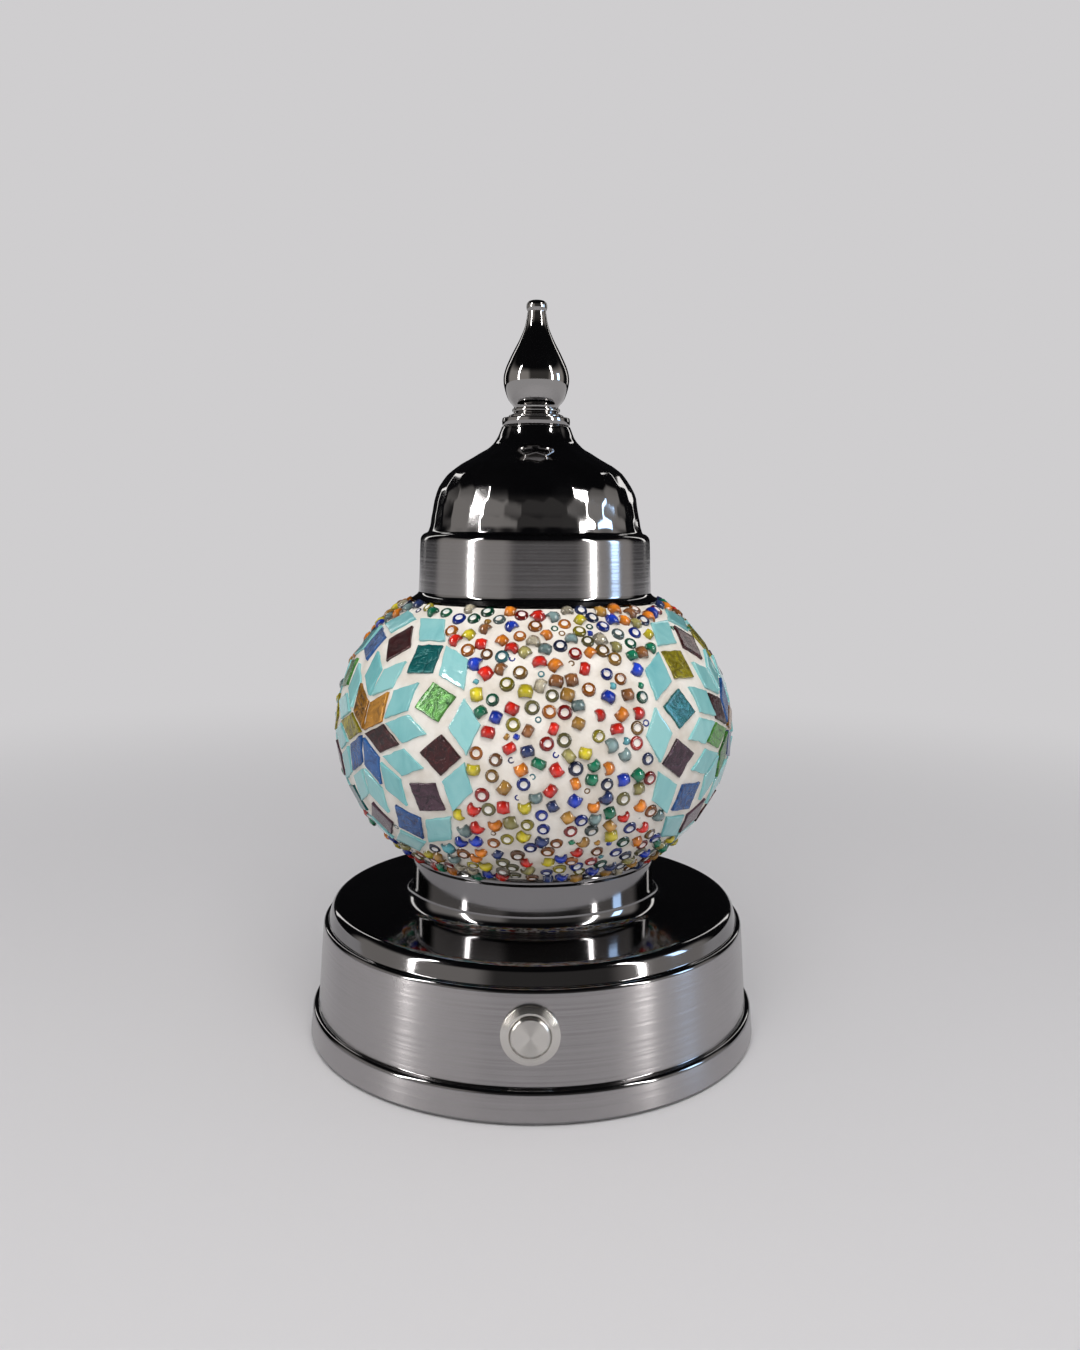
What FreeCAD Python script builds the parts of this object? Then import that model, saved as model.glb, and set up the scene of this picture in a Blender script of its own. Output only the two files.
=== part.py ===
"""Mosaic glass table lamp: a cordless lamp with a mosaic globe on a spun steel base, under a hammered cap.

A thin spun base carries the switch, the battery bay and the lamp unit. The blown globe stands in the
base's collar, and a domed cap with a turned finial closes its upper neck. Millimetres, +Z up, the origin
at the centre of the base, on the surface that the lamp stands on. The switch is on the -Y side.
"""

import FreeCAD, Part

import math
import os
import random

from FreeCAD import Vector

# ---- driving dimensions -------------------------------------------------------------------------------
BASE_RADIUS = 78.0  # widest, at the foot of the flange
BASE_HEIGHT = 46.5  # to the flat top of the base
SHEET = 1.0  # thickness of the spun base
CAP_SHEET = 0.8  # thickness of the spun cap
COLLAR_RADIUS = 42.2  # outside of the collar that the globe stands in
COLLAR_TOP = 64.0
GLOBE_CENTRE = 107.4  # height of the globe's widest circle
GLOBE_RADIUS = 65.9  # the blown glass, outside
GLOBE_HALF_HEIGHT = 53.6
GLASS = 2.5  # thickness of the blown glass
GROUT = 1.7  # thickness of the plaster coat over the glass
TILE = 2.1  # thickness of a tile
LOWER_NECK = 37.6  # outside radius of the glass necks
UPPER_NECK = 36.2
CAP_LIP = 150.9  # height of the cap's lower edge
CAP_TOP = 208.8
TOTAL_HEIGHT = 250.0
STUD_RADIUS = 3.0
STUD_LOW = 137.0
STUD_HIGH = 222.0
THREAD_RELIEF = 0.05  # radial running clearance of the finial's thread on the stud
BUTTON_HEIGHT = 27.0
SWITCH_BEZEL = 9.0  # radius of the switch's bezel
SWITCH_BARREL = 7.9
MEDALLIONS = (-51.5, 68.5, 188.5)  # degrees round the globe, from -Y towards +X
MEDALLION_TURN = (-4.0, 10.0, 3.0)  # degrees that each medallion's star is turned
MEDALLION_LIFT = 3.5  # height of a medallion's centre over the widest circle, along the surface
RHOMB = 10.9  # side of the star's rhombs, joints included
JOINT = 1.1  # width of the plaster joints between tiles

CENTRE = Vector(0, 0, 0)
UP = Vector(0, 0, 1)


# ---- helpers ------------------------------------------------------------------------------------------
def save(name, shape):
    """Writes one node, a solid or a group of separate solids."""
    solids = shape if isinstance(shape, list) else [shape]
    whole = solids[0] if len(solids) == 1 else Part.makeCompound(solids)
    for solid in whole.Solids:
        if not solid.isValid() or solid.Volume <= 0:
            raise ValueError(f"{name} has a bad solid")
    whole.exportStep(f"parts/{name}.step")


def rz(r, z):
    return Vector(r, 0, z)


def rounded(points):
    """Edges of a path through (r, z, radius) corners, each corner rounded by a tangent arc."""
    places = [rz(p[0], p[1]) for p in points]
    radii = [p[2] if len(p) > 2 else 0.0 for p in points]
    edges, start = [], places[0]
    for i in range(1, len(places) - 1):
        corner = places[i]
        back = (places[i - 1] - corner).normalize()
        ahead = (places[i + 1] - corner).normalize()
        half = back.getAngle(ahead) / 2
        if radii[i] > 0:
            reach = radii[i] / math.tan(half)
            into = corner + back * reach
            out = corner + ahead * reach
            inward = (back + ahead).normalize()
            middle = corner + inward * (radii[i] / math.sin(half) - radii[i])
            edges.append(Part.LineSegment(start, into).toShape())
            edges.append(Part.Arc(into, middle, out).toShape())
            start = out
        else:
            edges.append(Part.LineSegment(start, corner).toShape())
            start = corner
    edges.append(Part.LineSegment(start, places[-1]).toShape())
    return edges


def offset_points(points, thickness):
    """The same path, moved to the right of its direction by thickness, with its arcs kept concentric."""
    moved = []
    for i, point in enumerate(points):
        here = rz(point[0], point[1])
        before = (here - rz(*points[i - 1][:2])).normalize() if i > 0 else None
        after = (rz(*points[i + 1][:2]) - here).normalize() if i < len(points) - 1 else None
        first, second = before or after, after or before
        sides = [Vector(d.z, 0, -d.x) for d in (first, second)]
        mean = (sides[0] + sides[1]).normalize()
        place = here + mean * (thickness / mean.dot(sides[0]))
        radius = point[2] if len(point) > 2 else 0.0
        turn = first.x * second.z - first.z * second.x
        if radius > 0:
            radius = max(radius + (thickness if turn > 0 else -thickness), 0.05)
        moved.append((place.x, place.z, radius))
    return moved


def turned(edges):
    """A solid of revolution about Z from a closed outline."""
    return Part.Face(Part.Wire(edges)).revolve(CENTRE, UP, 360)


def closed(points):
    """The edges of a closed outline with rounded corners; it starts midway along its last side."""
    first, last = points[0], points[-1]
    middle = ((first[0] + last[0]) / 2, (first[1] + last[1]) / 2)
    return rounded([middle] + list(points) + [middle])


def spun_sheet(points, thickness):
    """A spun shell: the outside path, the inside path and its two edges, turned about Z."""
    outside = rounded(points)
    inside = rounded(offset_points(points, thickness))
    ends = [
        Part.LineSegment(inside[-1].Vertexes[-1].Point, outside[-1].Vertexes[-1].Point).toShape(),
        Part.LineSegment(inside[0].Vertexes[0].Point, outside[0].Vertexes[0].Point).toShape(),
    ]
    return turned(Part.__sortEdges__(outside + inside + ends))


def ring(outer, inner, low, high, chamfer=0.0):
    """A flat ring about Z."""
    solid = Part.makeCylinder(outer, high - low, rz(0, low))
    if chamfer:
        solid = solid.makeChamfer(chamfer, [e for e in solid.Edges if len(e.Vertexes) == 1])
    if inner:
        solid = solid.cut(Part.makeCylinder(inner, high - low + 2, rz(0, low - 1)))
    return solid


def hexagon(across_flats, low, high, bore):
    """A hexagon nut about Z."""
    reach = across_flats / math.sqrt(3)
    corners = [
        Vector(reach * math.cos(math.radians(60 * i)), reach * math.sin(math.radians(60 * i)), low)
        for i in range(7)
    ]
    nut = Part.Face(Part.makePolygon(corners)).extrude(Vector(0, 0, high - low))
    return nut.cut(Part.makeCylinder(bore, high - low + 2, rz(0, low - 1)))


def around(solid, count, start=0.0):
    """A list of copies of a solid, evenly spaced about Z."""
    copies = []
    for i in range(count):
        copy = solid.copy()
        copy.rotate(CENTRE, UP, start + 360.0 * i / count)
        copies.append(copy)
    return copies


def coil(radius, wire, low, high, turns):
    """A wound spring about Z, between two heights that hold its wire."""
    helix = Part.makeHelix((high - low - 2 * wire) / turns, high - low - 2 * wire, radius)
    helix.translate(rz(0, low + wire))
    section = Part.Wire(Part.makeCircle(wire, rz(radius, low + wire), Vector(0, 1, 0)))
    return Part.Wire(helix).makePipeShell([section], True, True)


def tube(points, radius, bend):
    """A round wire along straight runs joined by tangent arcs."""
    edges, start = [], points[0]
    for i in range(1, len(points) - 1):
        corner = points[i]
        back = (points[i - 1] - corner).normalize()
        ahead = (points[i + 1] - corner).normalize()
        half = back.getAngle(ahead) / 2
        into = corner + back * (bend / math.tan(half))
        out = corner + ahead * (bend / math.tan(half))
        middle = corner + (back + ahead).normalize() * (bend / math.sin(half) - bend)
        edges.append(Part.LineSegment(start, into).toShape())
        edges.append(Part.Arc(into, middle, out).toShape())
        start = out
    edges.append(Part.LineSegment(start, points[-1]).toShape())
    path = Part.Wire(edges)
    section = Part.Wire(Part.makeCircle(radius, points[0], points[1] - points[0]))
    return path.makePipeShell([section], True, True)


# ---- base shell: one spun sheet, from the rolled foot to the rim of the collar -------------------------
FLANGE_TOP = 10.4
WALL_LOW = 10.8
WALL_HIGH = 40.0
WALL_FOOT = 75.2  # radius of the wall where it meets the flange
WALL_TOP = 73.1  # radius of the wall under the shoulder
SHOULDER = 39.4  # height of the wall's upper edge
FOOT_GAP = 0.6  # the shell's edge clears the surface by this much


def base_shell():
    outside = [
        (BASE_RADIUS - 1.8, FOOT_GAP),
        (BASE_RADIUS, FOOT_GAP, 0.6),
        (BASE_RADIUS - 0.8, FLANGE_TOP, 1.6),
        (WALL_FOOT, WALL_LOW, 0.5),
        (WALL_TOP, WALL_HIGH, 1.4),
        (WALL_TOP - 1.7, SHOULDER + 1.0, 0.5),
        (WALL_TOP - 3.4, BASE_HEIGHT, 3.4),
        (COLLAR_RADIUS, BASE_HEIGHT + 0.3, 5.2),
        (COLLAR_RADIUS, COLLAR_TOP - 2.2, 0.8),
        (COLLAR_RADIUS + 0.9, COLLAR_TOP - 1.5, 0.6),
        (COLLAR_RADIUS + 0.7, COLLAR_TOP, 0.7),
        (COLLAR_RADIUS - 1.0, COLLAR_TOP),
    ]
    outline = rounded(outside)
    inside = [
        (COLLAR_RADIUS - SHEET, COLLAR_TOP - 1.0),
        (COLLAR_RADIUS - SHEET, BASE_HEIGHT + 0.3 - SHEET, 6.2),
        (WALL_TOP - 3.4 - 0.95, BASE_HEIGHT - SHEET, 2.4),
        (WALL_TOP - 1.7 - 0.95, SHOULDER + 0.3, 1.5),
        (WALL_TOP - 1.05, SHOULDER - 0.3, 0.4),
        (WALL_FOOT - 1.05, FLANGE_TOP - 0.4, 1.5),
        (BASE_RADIUS - 1.8, FLANGE_TOP - 0.8, 0.6),
        (BASE_RADIUS - 1.2, FOOT_GAP + SHEET, 0.3),
        (BASE_RADIUS - 1.8, FOOT_GAP + SHEET),
    ]
    back = rounded(inside)
    top, foot = outline[-1].Vertexes[-1].Point, outline[0].Vertexes[0].Point
    joins = [
        Part.LineSegment(top, back[0].Vertexes[0].Point).toShape(),
        Part.LineSegment(back[-1].Vertexes[-1].Point, foot).toShape(),
    ]
    shell = turned(outline + [joins[0]] + back + [joins[1]])
    return shell.cut(switch_place(Part.makeCylinder(SWITCH_BARREL + 0.15, 8, rz(0, -4))))


# ---- switch: a 16 mm metal push button, square to the sloping wall --------------------------------------
WALL_SLOPE = math.degrees(math.atan((WALL_FOOT - WALL_TOP) / (WALL_HIGH - WALL_LOW)))
BEZEL_BACK = 0.35
BEZEL_FACE = 2.3
BUTTON_FACE = 3.4
BUTTON_RADIUS = 5.95
BARREL_END = -18.0
NUT_FACE = -2.75


def switch_place(shape):
    """Moves a shape from the switch's own frame, +Z out of the lamp, to its place on the wall."""
    wall = WALL_FOOT - (BUTTON_HEIGHT - WALL_LOW) * math.tan(math.radians(WALL_SLOPE))
    placed = shape.copy()
    placed.rotate(CENTRE, Vector(1, 0, 0), 90 - WALL_SLOPE)
    placed.translate(Vector(0, -wall, BUTTON_HEIGHT))
    return placed


def switch_body():
    """The turned steel barrel with its chamfered bezel, bored for the button."""
    outline = closed(
        [
            (BUTTON_RADIUS + 0.12, BEZEL_FACE - 0.5),
            (BUTTON_RADIUS + 0.12, BEZEL_FACE - 0.25),
            (BUTTON_RADIUS + 0.45, BEZEL_FACE, 0.1),
            (SWITCH_BEZEL - 1.9, BEZEL_FACE, 0.2),
            (SWITCH_BEZEL, BEZEL_FACE - 0.8, 0.2),
            (SWITCH_BEZEL, BEZEL_BACK, 0.15),
            (SWITCH_BARREL, BEZEL_BACK),
            (SWITCH_BARREL, BARREL_END),
            (3.0, BARREL_END),
            (3.0, -9.0),
            (BUTTON_RADIUS + 0.12, -9.0),
        ]
    )
    return turned(outline)


def switch_button():
    """The moving cap and its stem."""
    outline = closed(
        [
            (0, -12.0),
            (2.2, -12.0),
            (2.2, -3.0),
            (BUTTON_RADIUS, -3.0),
            (BUTTON_RADIUS, BUTTON_FACE - 0.5),
            (BUTTON_RADIUS - 0.5, BUTTON_FACE),
            (0, BUTTON_FACE),
        ]
    )
    return turned(outline)


def switch_terminals():
    blade = Part.makeBox(0.5, 2.8, 7.0, Vector(-0.25, -1.4, BARREL_END - 9.0))
    blade = blade.cut(Part.makeCylinder(0.6, 2, Vector(-1, 0, BARREL_END - 7.4), Vector(1, 0, 0)))
    pair = []
    for side in (-3.6, 3.6):
        copy = blade.copy()
        copy.translate(Vector(side, 0, 0))
        pair.append(switch_place(copy))
    return pair


def make_switch():
    save("switch_body", switch_place(switch_body()))
    save("switch_button", switch_place(switch_button()))
    save("switch_gasket", switch_place(ring(8.85, SWITCH_BARREL + 0.1, 0.04, BEZEL_BACK - 0.01)))
    washer = ring(10.4, SWITCH_BARREL + 0.12, NUT_FACE + 0.02, NUT_FACE + 0.72)
    save("switch_lock_washer", switch_place(washer))
    save("switch_nut", switch_place(hexagon(19.0, NUT_FACE - 2.6, NUT_FACE, SWITCH_BARREL + 0.05)))
    save("switch_spring", switch_place(coil(4.2, 0.45, -8.9, -3.1, 3)))
    cup = ring(6.9, 0, BARREL_END - 6.0, BARREL_END - 0.02, 0.4)
    slot = Part.makeBox(0.6, 2.9, 8.0, Vector(-0.3, -1.45, BARREL_END - 9.0))
    for side in (-3.6, 3.6):
        cut = slot.copy()
        cut.translate(Vector(side, 0, 0))
        cup = cup.cut(cut)
    save("switch_insulator", switch_place(cup))
    save("switch_terminals", switch_terminals())


# ---- base plate, battery bay and feet --------------------------------------------------------------------
PLATE_LOW = 2.2
PLATE_HIGH = 4.6
PLATE_RADIUS = 74.6
BAY_LENGTH = 58.0  # along X, inside
BAY_WIDTH = 46.5  # along Y, inside
BAY_WALL = 1.6
BAY_TOP = 21.6
BAY_BACK = 12.0  # the bay's centre is this far behind the lamp's axis
CELL_RADIUS = 7.15
CELL_LENGTH = 49.2
CELL_PITCH = 15.0
CELL_HEIGHT = 12.6
LUG_ANGLES = (90.0, 210.0, 330.0)
LUG_RADIUS = 68.0
HINGE_HEIGHT = PLATE_LOW + 1.0


def box(low, high):
    return Part.makeBox(high[0] - low[0], high[1] - low[1], high[2] - low[2], Vector(*low))


def bay_box(grow, low, high):
    half = (BAY_LENGTH / 2 + grow, BAY_WIDTH / 2 + grow)
    return box((-half[0], BAY_BACK - half[1], low), (half[0], BAY_BACK + half[1], high))


def base_plate():
    plate = ring(PLATE_RADIUS, 0, PLATE_LOW, PLATE_HIGH, 0.4)
    plate = plate.fuse(bay_box(BAY_WALL, PLATE_LOW + 0.6, BAY_TOP))
    plate = plate.cut(bay_box(0, PLATE_LOW - 1, BAY_TOP - BAY_WALL))
    front, back = BAY_BACK - BAY_WIDTH / 2, BAY_BACK + BAY_WIDTH / 2
    plate = plate.cut(box((-6, front - 3.2, PLATE_LOW - 1), (6, front + 1, PLATE_HIGH + 1)))
    for x in (-20.0, 20.0):
        socket = box((x - 4.5, back - 1, PLATE_LOW - 1), (x + 4.5, back + 3.0, PLATE_HIGH - 0.25))
        plate = plate.cut(socket)
    hole = Part.makeCylinder(1.7, 6, Vector(LUG_RADIUS, 0, PLATE_LOW - 1))
    plate = plate.cut(around(hole, 3, LUG_ANGLES[0]))
    lead = Part.makeCylinder(2.4, 8, Vector(-BAY_LENGTH / 2 + 4, BAY_BACK, BAY_TOP - 4))
    return plate.cut(lead).removeSplitter()


def battery_door():
    """The snap door: two hook tongues at the back, a finger latch at the front, stiffening ribs inside."""
    half_x, half_y = BAY_LENGTH / 2 - 0.4, BAY_WIDTH / 2 - 0.4
    axis_y = BAY_BACK + BAY_WIDTH / 2 + 1.2
    door = box((-half_x, BAY_BACK - half_y, PLATE_LOW), (half_x, BAY_BACK + half_y, PLATE_LOW + 1.8))
    latch = box((-5, BAY_BACK - half_y - 2.2, PLATE_LOW), (5, BAY_BACK - half_y + 2, PLATE_LOW + 1.4))
    door = door.fuse(latch)
    for x in (-20.0, 20.0):
        tongue = Part.makeCylinder(0.9, 8, Vector(x - 4, axis_y, HINGE_HEIGHT), Vector(1, 0, 0))
        low, high = HINGE_HEIGHT - 0.6, HINGE_HEIGHT + 0.6
        bridge = box((x - 4, BAY_BACK + half_y - 1, low), (x + 4, axis_y, high))
        door = door.fuse([tongue, bridge])
    for y in (-CELL_PITCH / 2, CELL_PITCH / 2):
        rib = box((-20, BAY_BACK + y - 0.6, PLATE_LOW + 1.5), (20, BAY_BACK + y + 0.6, PLATE_LOW + 2.8))
        door = door.fuse(rib)
    return door.removeSplitter()


def make_batteries():
    cells, springs, contacts = [], [], []
    for i, y in enumerate((-CELL_PITCH, 0.0, CELL_PITCH)):
        plus = 1 if i % 2 == 0 else -1
        along = Vector(plus, 0, 0)
        can = Vector(plus * (BAY_LENGTH / 2 - 0.42 - 1.2 - CELL_LENGTH), BAY_BACK + y, CELL_HEIGHT)
        body = Part.makeCylinder(CELL_RADIUS, CELL_LENGTH, can, along)
        body = body.makeFillet(0.6, [e for e in body.Edges if len(e.Vertexes) == 1])
        nub = Part.makeCylinder(2.75, 1.2 + 1, can + along * (CELL_LENGTH - 1), along)
        cells.append(body.fuse(nub))
        spring = coil(3.2, 0.35, 0.03, can.dot(along) + BAY_LENGTH / 2 - 0.46, 3)
        spring.rotate(CENTRE, Vector(0, 1, 0), 90 * plus)
        spring.translate(Vector(-plus * (BAY_LENGTH / 2 - 0.42), BAY_BACK + y, CELL_HEIGHT))
        springs.append(spring)
        for end in (-1, 1):
            wall = end * (BAY_LENGTH / 2 - 0.2)
            corner = (wall - 0.18, BAY_BACK + y - 5, CELL_HEIGHT - 5)
            contacts.append(box(corner, (wall + 0.18, corner[1] + 10, corner[2] + 10)))
    save("battery_cells", cells)
    save("battery_springs", springs)
    save("battery_contacts", contacts)


def make_underside():
    save("base_plate", base_plate())
    save("battery_door", battery_door())
    make_batteries()
    foot = closed([(0, 0), (5.0, 0, 0.8), (5.5, PLATE_LOW - 0.02), (0, PLATE_LOW - 0.02)])
    feet = around(turned(foot).translated(Vector(62.0, 0, 0)), 4, 45.0)
    save("rubber_feet", feet)
    lug = box((LUG_RADIUS - 6, -7, PLATE_HIGH + 0.02), (LUG_RADIUS + 6, 7, PLATE_HIGH + 1.6))
    upright = box((LUG_RADIUS + 1, -7, PLATE_HIGH + 0.5), (BASE_RADIUS, 7, 22))
    upright = upright.common(ring(WALL_FOOT - 2.0, WALL_FOOT - 3.6, PLATE_HIGH, 22))
    foot_part = lug.common(ring(WALL_FOOT - 2.0, LUG_RADIUS - 6, PLATE_HIGH, 8))
    bracket = foot_part.fuse(upright).removeSplitter()
    bracket = bracket.cut(Part.makeCylinder(1.25, 6, Vector(LUG_RADIUS, 0, PLATE_HIGH - 1)))
    save("mounting_lugs", around(bracket, 3, LUG_ANGLES[0]))
    head = closed([(0, 0.5), (2.3, 0.5, 0.8), (2.8, PLATE_LOW - 0.02), (0, PLATE_LOW - 0.02)])
    screw = turned(head).fuse(Part.makeCylinder(1.2, 7.5, rz(0, PLATE_LOW - 0.5)))
    screw = screw.cut(box((-1.6, -0.35, 0), (1.6, 0.35, 1.1))).cut(box((-0.35, -1.6, 0), (0.35, 1.6, 1.1)))
    save("plate_screws", around(screw.translated(Vector(LUG_RADIUS, 0, 0)), 3, LUG_ANGLES[0]))


# ---- lamp unit in the collar -----------------------------------------------------------------------------
GALLERY_LOW = 51.0
GALLERY_HIGH = 52.2
HOLDER_RADIUS = 15.0
BOARD_HEIGHT = 74.0


def make_lamp_unit():
    gallery = ring(COLLAR_RADIUS - SHEET - 0.06, 9.0, GALLERY_LOW, GALLERY_HIGH)
    skirt = ring(COLLAR_RADIUS - SHEET - 0.06, COLLAR_RADIUS - SHEET - 1.2, GALLERY_LOW, GALLERY_LOW + 5.0)
    gallery = gallery.fuse(skirt)
    screw_circle = 24.0
    tapped = Part.makeCylinder(1.25, 6, Vector(screw_circle, 0, GALLERY_LOW - 2))
    save("gallery_plate", gallery.cut(around(tapped, 3)).removeSplitter())
    holder = closed(
        [
            (9.5, GALLERY_HIGH + 0.02),
            (28.0, GALLERY_HIGH + 0.02, 0.4),
            (28.0, GALLERY_HIGH + 2.2, 0.8),
            (HOLDER_RADIUS, GALLERY_HIGH + 2.2, 2.0),
            (HOLDER_RADIUS, BOARD_HEIGHT + 1.7, 0.3),
            (HOLDER_RADIUS - 1.6, BOARD_HEIGHT + 1.7, 0.2),
            (HOLDER_RADIUS - 1.6, BOARD_HEIGHT),
            (HOLDER_RADIUS - 3.4, BOARD_HEIGHT),
            (HOLDER_RADIUS - 3.4, BOARD_HEIGHT - 3.0, 1.0),
            (9.5, BOARD_HEIGHT - 8.0, 1.0),
        ]
    )
    holder = turned(holder)
    screw = turned(closed([(0, 1.9), (2.7, 1.9, 0.7), (2.7, 0.0), (1.2, 0.0), (1.2, -6.0), (0, -6.0)]))
    screw = screw.cut(box((-1.6, -0.35, 1.2), (1.6, 0.35, 3)))
    holder = holder.cut(around(Part.makeCylinder(1.5, 8, Vector(screw_circle, 0, GALLERY_LOW)), 3))
    save("led_holder", holder)
    screw = screw.translated(Vector(screw_circle, 0, GALLERY_HIGH + 2.24))
    save("led_holder_screws", around(screw, 3))
    board = ring(HOLDER_RADIUS - 1.75, 1.4, BOARD_HEIGHT + 0.02, BOARD_HEIGHT + 1.5)
    save("led_board", board)
    chip = box((-1.75, -1.4, BOARD_HEIGHT + 1.52), (1.75, 1.4, BOARD_HEIGHT + 2.3))
    save("led_chips", around(chip.translated(Vector(7.5, 0, 0)), 8))
    diffuser_top = BOARD_HEIGHT + 24.0
    outer, inner = HOLDER_RADIUS + 1.6, HOLDER_RADIUS + 0.15
    low = BOARD_HEIGHT - 6.0
    edges = [
        Part.LineSegment(rz(outer, low), rz(outer, diffuser_top)).toShape(),
        Part.Arc(
            rz(outer, diffuser_top),
            rz(outer * math.sin(math.pi / 4), diffuser_top + outer * math.cos(math.pi / 4)),
            rz(0, diffuser_top + outer),
        ).toShape(),
        Part.LineSegment(rz(0, diffuser_top + outer), rz(0, diffuser_top + inner)).toShape(),
        Part.Arc(
            rz(0, diffuser_top + inner),
            rz(inner * math.sin(math.pi / 4), diffuser_top + inner * math.cos(math.pi / 4)),
            rz(inner, diffuser_top),
        ).toShape(),
        Part.LineSegment(rz(inner, diffuser_top), rz(inner, low)).toShape(),
        Part.LineSegment(rz(inner, low), rz(outer, low)).toShape(),
    ]
    save("led_diffuser", turned(edges))


# ---- wiring inside the base ------------------------------------------------------------------------------
WIRE = 0.75
BEND = 5.0


def make_wiring():
    """Battery to switch, switch to lamp, and lamp back to the battery."""
    terminal_y = -(WALL_FOOT + WALL_TOP) / 2 - BARREL_END + 9.0
    end = terminal_y + 6.2
    low = BUTTON_HEIGHT + 1.0
    lamp_foot = BOARD_HEIGHT - 0.6
    battery_lead = tube(
        [
            Vector(-3.6, end, low),
            Vector(-3.6, end + 9, low),
            Vector(-BAY_LENGTH / 2 + 4, BAY_BACK - 12, 30.0),
            Vector(-BAY_LENGTH / 2 + 4, BAY_BACK, 30.0),
            Vector(-BAY_LENGTH / 2 + 4, BAY_BACK, BAY_TOP - 1.0),
        ],
        WIRE,
        BEND,
    )
    switch_lead = tube(
        [
            Vector(3.6, end, low),
            Vector(3.6, end + 12, low),
            Vector(3.6, -6, 38.0),
            Vector(3.6, -0.5, 48.0),
            Vector(3.6, -0.5, lamp_foot),
        ],
        WIRE,
        BEND,
    )
    return_lead = tube(
        [
            Vector(-3.6, 1.5, lamp_foot),
            Vector(-3.6, 1.5, 44.0),
            Vector(8.0, 14.0, 33.0),
            Vector(BAY_LENGTH / 2 - 8, 18.0, 33.0),
            Vector(BAY_LENGTH / 2 - 8, 18.0, BAY_TOP + 0.1),
        ],
        WIRE,
        BEND,
    )
    save("battery_lead", battery_lead)
    save("switch_lead", switch_lead)
    save("return_lead", return_lead)


# ---- globe: blown glass with an open neck at each end, and its coat of plaster -------------------------
def globe_arc(grow, low_r, high_r):
    """The globe's half section at an offset from the glass, from its lower radius to its upper one."""
    a, c = GLOBE_RADIUS + grow, GLOBE_HALF_HEIGHT + grow
    ellipse = Part.Ellipse(rz(a, GLOBE_CENTRE), rz(0, GLOBE_CENTRE + c), rz(0, GLOBE_CENTRE))
    first, last = -math.acos(low_r / a), math.acos(high_r / a)
    lower = rz(low_r, GLOBE_CENTRE + c * math.sin(first))
    upper = rz(high_r, GLOBE_CENTRE + c * math.sin(last))
    arc = Part.ArcOfEllipse(ellipse, ellipse.parameter(lower), ellipse.parameter(upper))
    return arc.toShape(), lower, upper


def line(a, b):
    return Part.LineSegment(a, b).toShape()


def globe_glass():
    neck_low, neck_high = 55.6, 158.6
    outer, outer_low, outer_high = globe_arc(0, LOWER_NECK, UPPER_NECK)
    inner, inner_low, inner_high = globe_arc(-GLASS, LOWER_NECK - GLASS, UPPER_NECK - GLASS)
    edges = [
        outer,
        line(outer_high, rz(UPPER_NECK, neck_high)),
        line(rz(UPPER_NECK, neck_high), rz(UPPER_NECK - GLASS, neck_high)),
        line(rz(UPPER_NECK - GLASS, neck_high), inner_high),
        inner,
        line(inner_low, rz(LOWER_NECK - GLASS, neck_low)),
        line(rz(LOWER_NECK - GLASS, neck_low), rz(LOWER_NECK, neck_low)),
        line(rz(LOWER_NECK, neck_low), outer_low),
    ]
    return turned(Part.__sortEdges__(edges))


def seat_ring():
    """The soft ring that the globe's lower neck stands in: a collar round the neck, a lip under it."""
    neck, wall = LOWER_NECK + 0.05, COLLAR_RADIUS - SHEET - 0.05
    low = GALLERY_HIGH + 0.05
    return turned(
        closed(
            [
                (neck, 55.5),
                (neck, 61.8, 0.5),
                (wall, 61.8, 0.5),
                (wall, 56.1),
                (wall - 1.25, 56.1),
                (wall - 1.25, low),
                (33.0, low, 0.5),
                (33.0, 55.5, 0.5),
            ]
        )
    )


def globe_grout():
    low, high = COLLAR_RADIUS - 0.1, 42.7
    outer, outer_low, outer_high = globe_arc(GROUT, low, high)
    inner, inner_low, inner_high = globe_arc(0.02, low, high)
    edges = [outer, line(outer_high, inner_high), inner, line(inner_low, outer_low)]
    return turned(Part.__sortEdges__(edges))


# ---- mosaic tiles: three medallions of rhombs and squares, laid flat on the glass ------------------------
SURFACE = 67.0  # radius used to lay a medallion's flat plan over the globe
SQUEEZE = 1.15  # the globe is less tall than wide, so the plan is laid a little taller
STAR_TILES = (
    ("tiles_maroon", "tiles_amber", "tiles_amber", "tiles_olive", "tiles_blue", "tiles_blue"),
    ("tiles_amber", "tiles_blue", "tiles_maroon", "tiles_green", "tiles_green", "tiles_blue"),
    ("tiles_blue", "tiles_olive", "tiles_green", "tiles_maroon", "tiles_amber", "tiles_teal"),
)
SQUARE_TILES = (
    ("tiles_maroon", "tiles_green", "tiles_teal", "tiles_maroon", "tiles_blue", "tiles_green",
     "tiles_olive", "tiles_violet", "tiles_teal", "tiles_violet", "tiles_blue", "tiles_violet"),
    ("tiles_teal", "tiles_violet", "tiles_olive", "tiles_maroon", "tiles_olive", "tiles_teal",
     "tiles_violet", "tiles_blue", "tiles_violet", "tiles_maroon", "tiles_green", "tiles_amber"),
    ("tiles_olive", "tiles_violet", "tiles_blue", "tiles_teal", "tiles_maroon", "tiles_amber",
     "tiles_green", "tiles_maroon", "tiles_blue", "tiles_violet", "tiles_teal", "tiles_maroon"),
)


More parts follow.
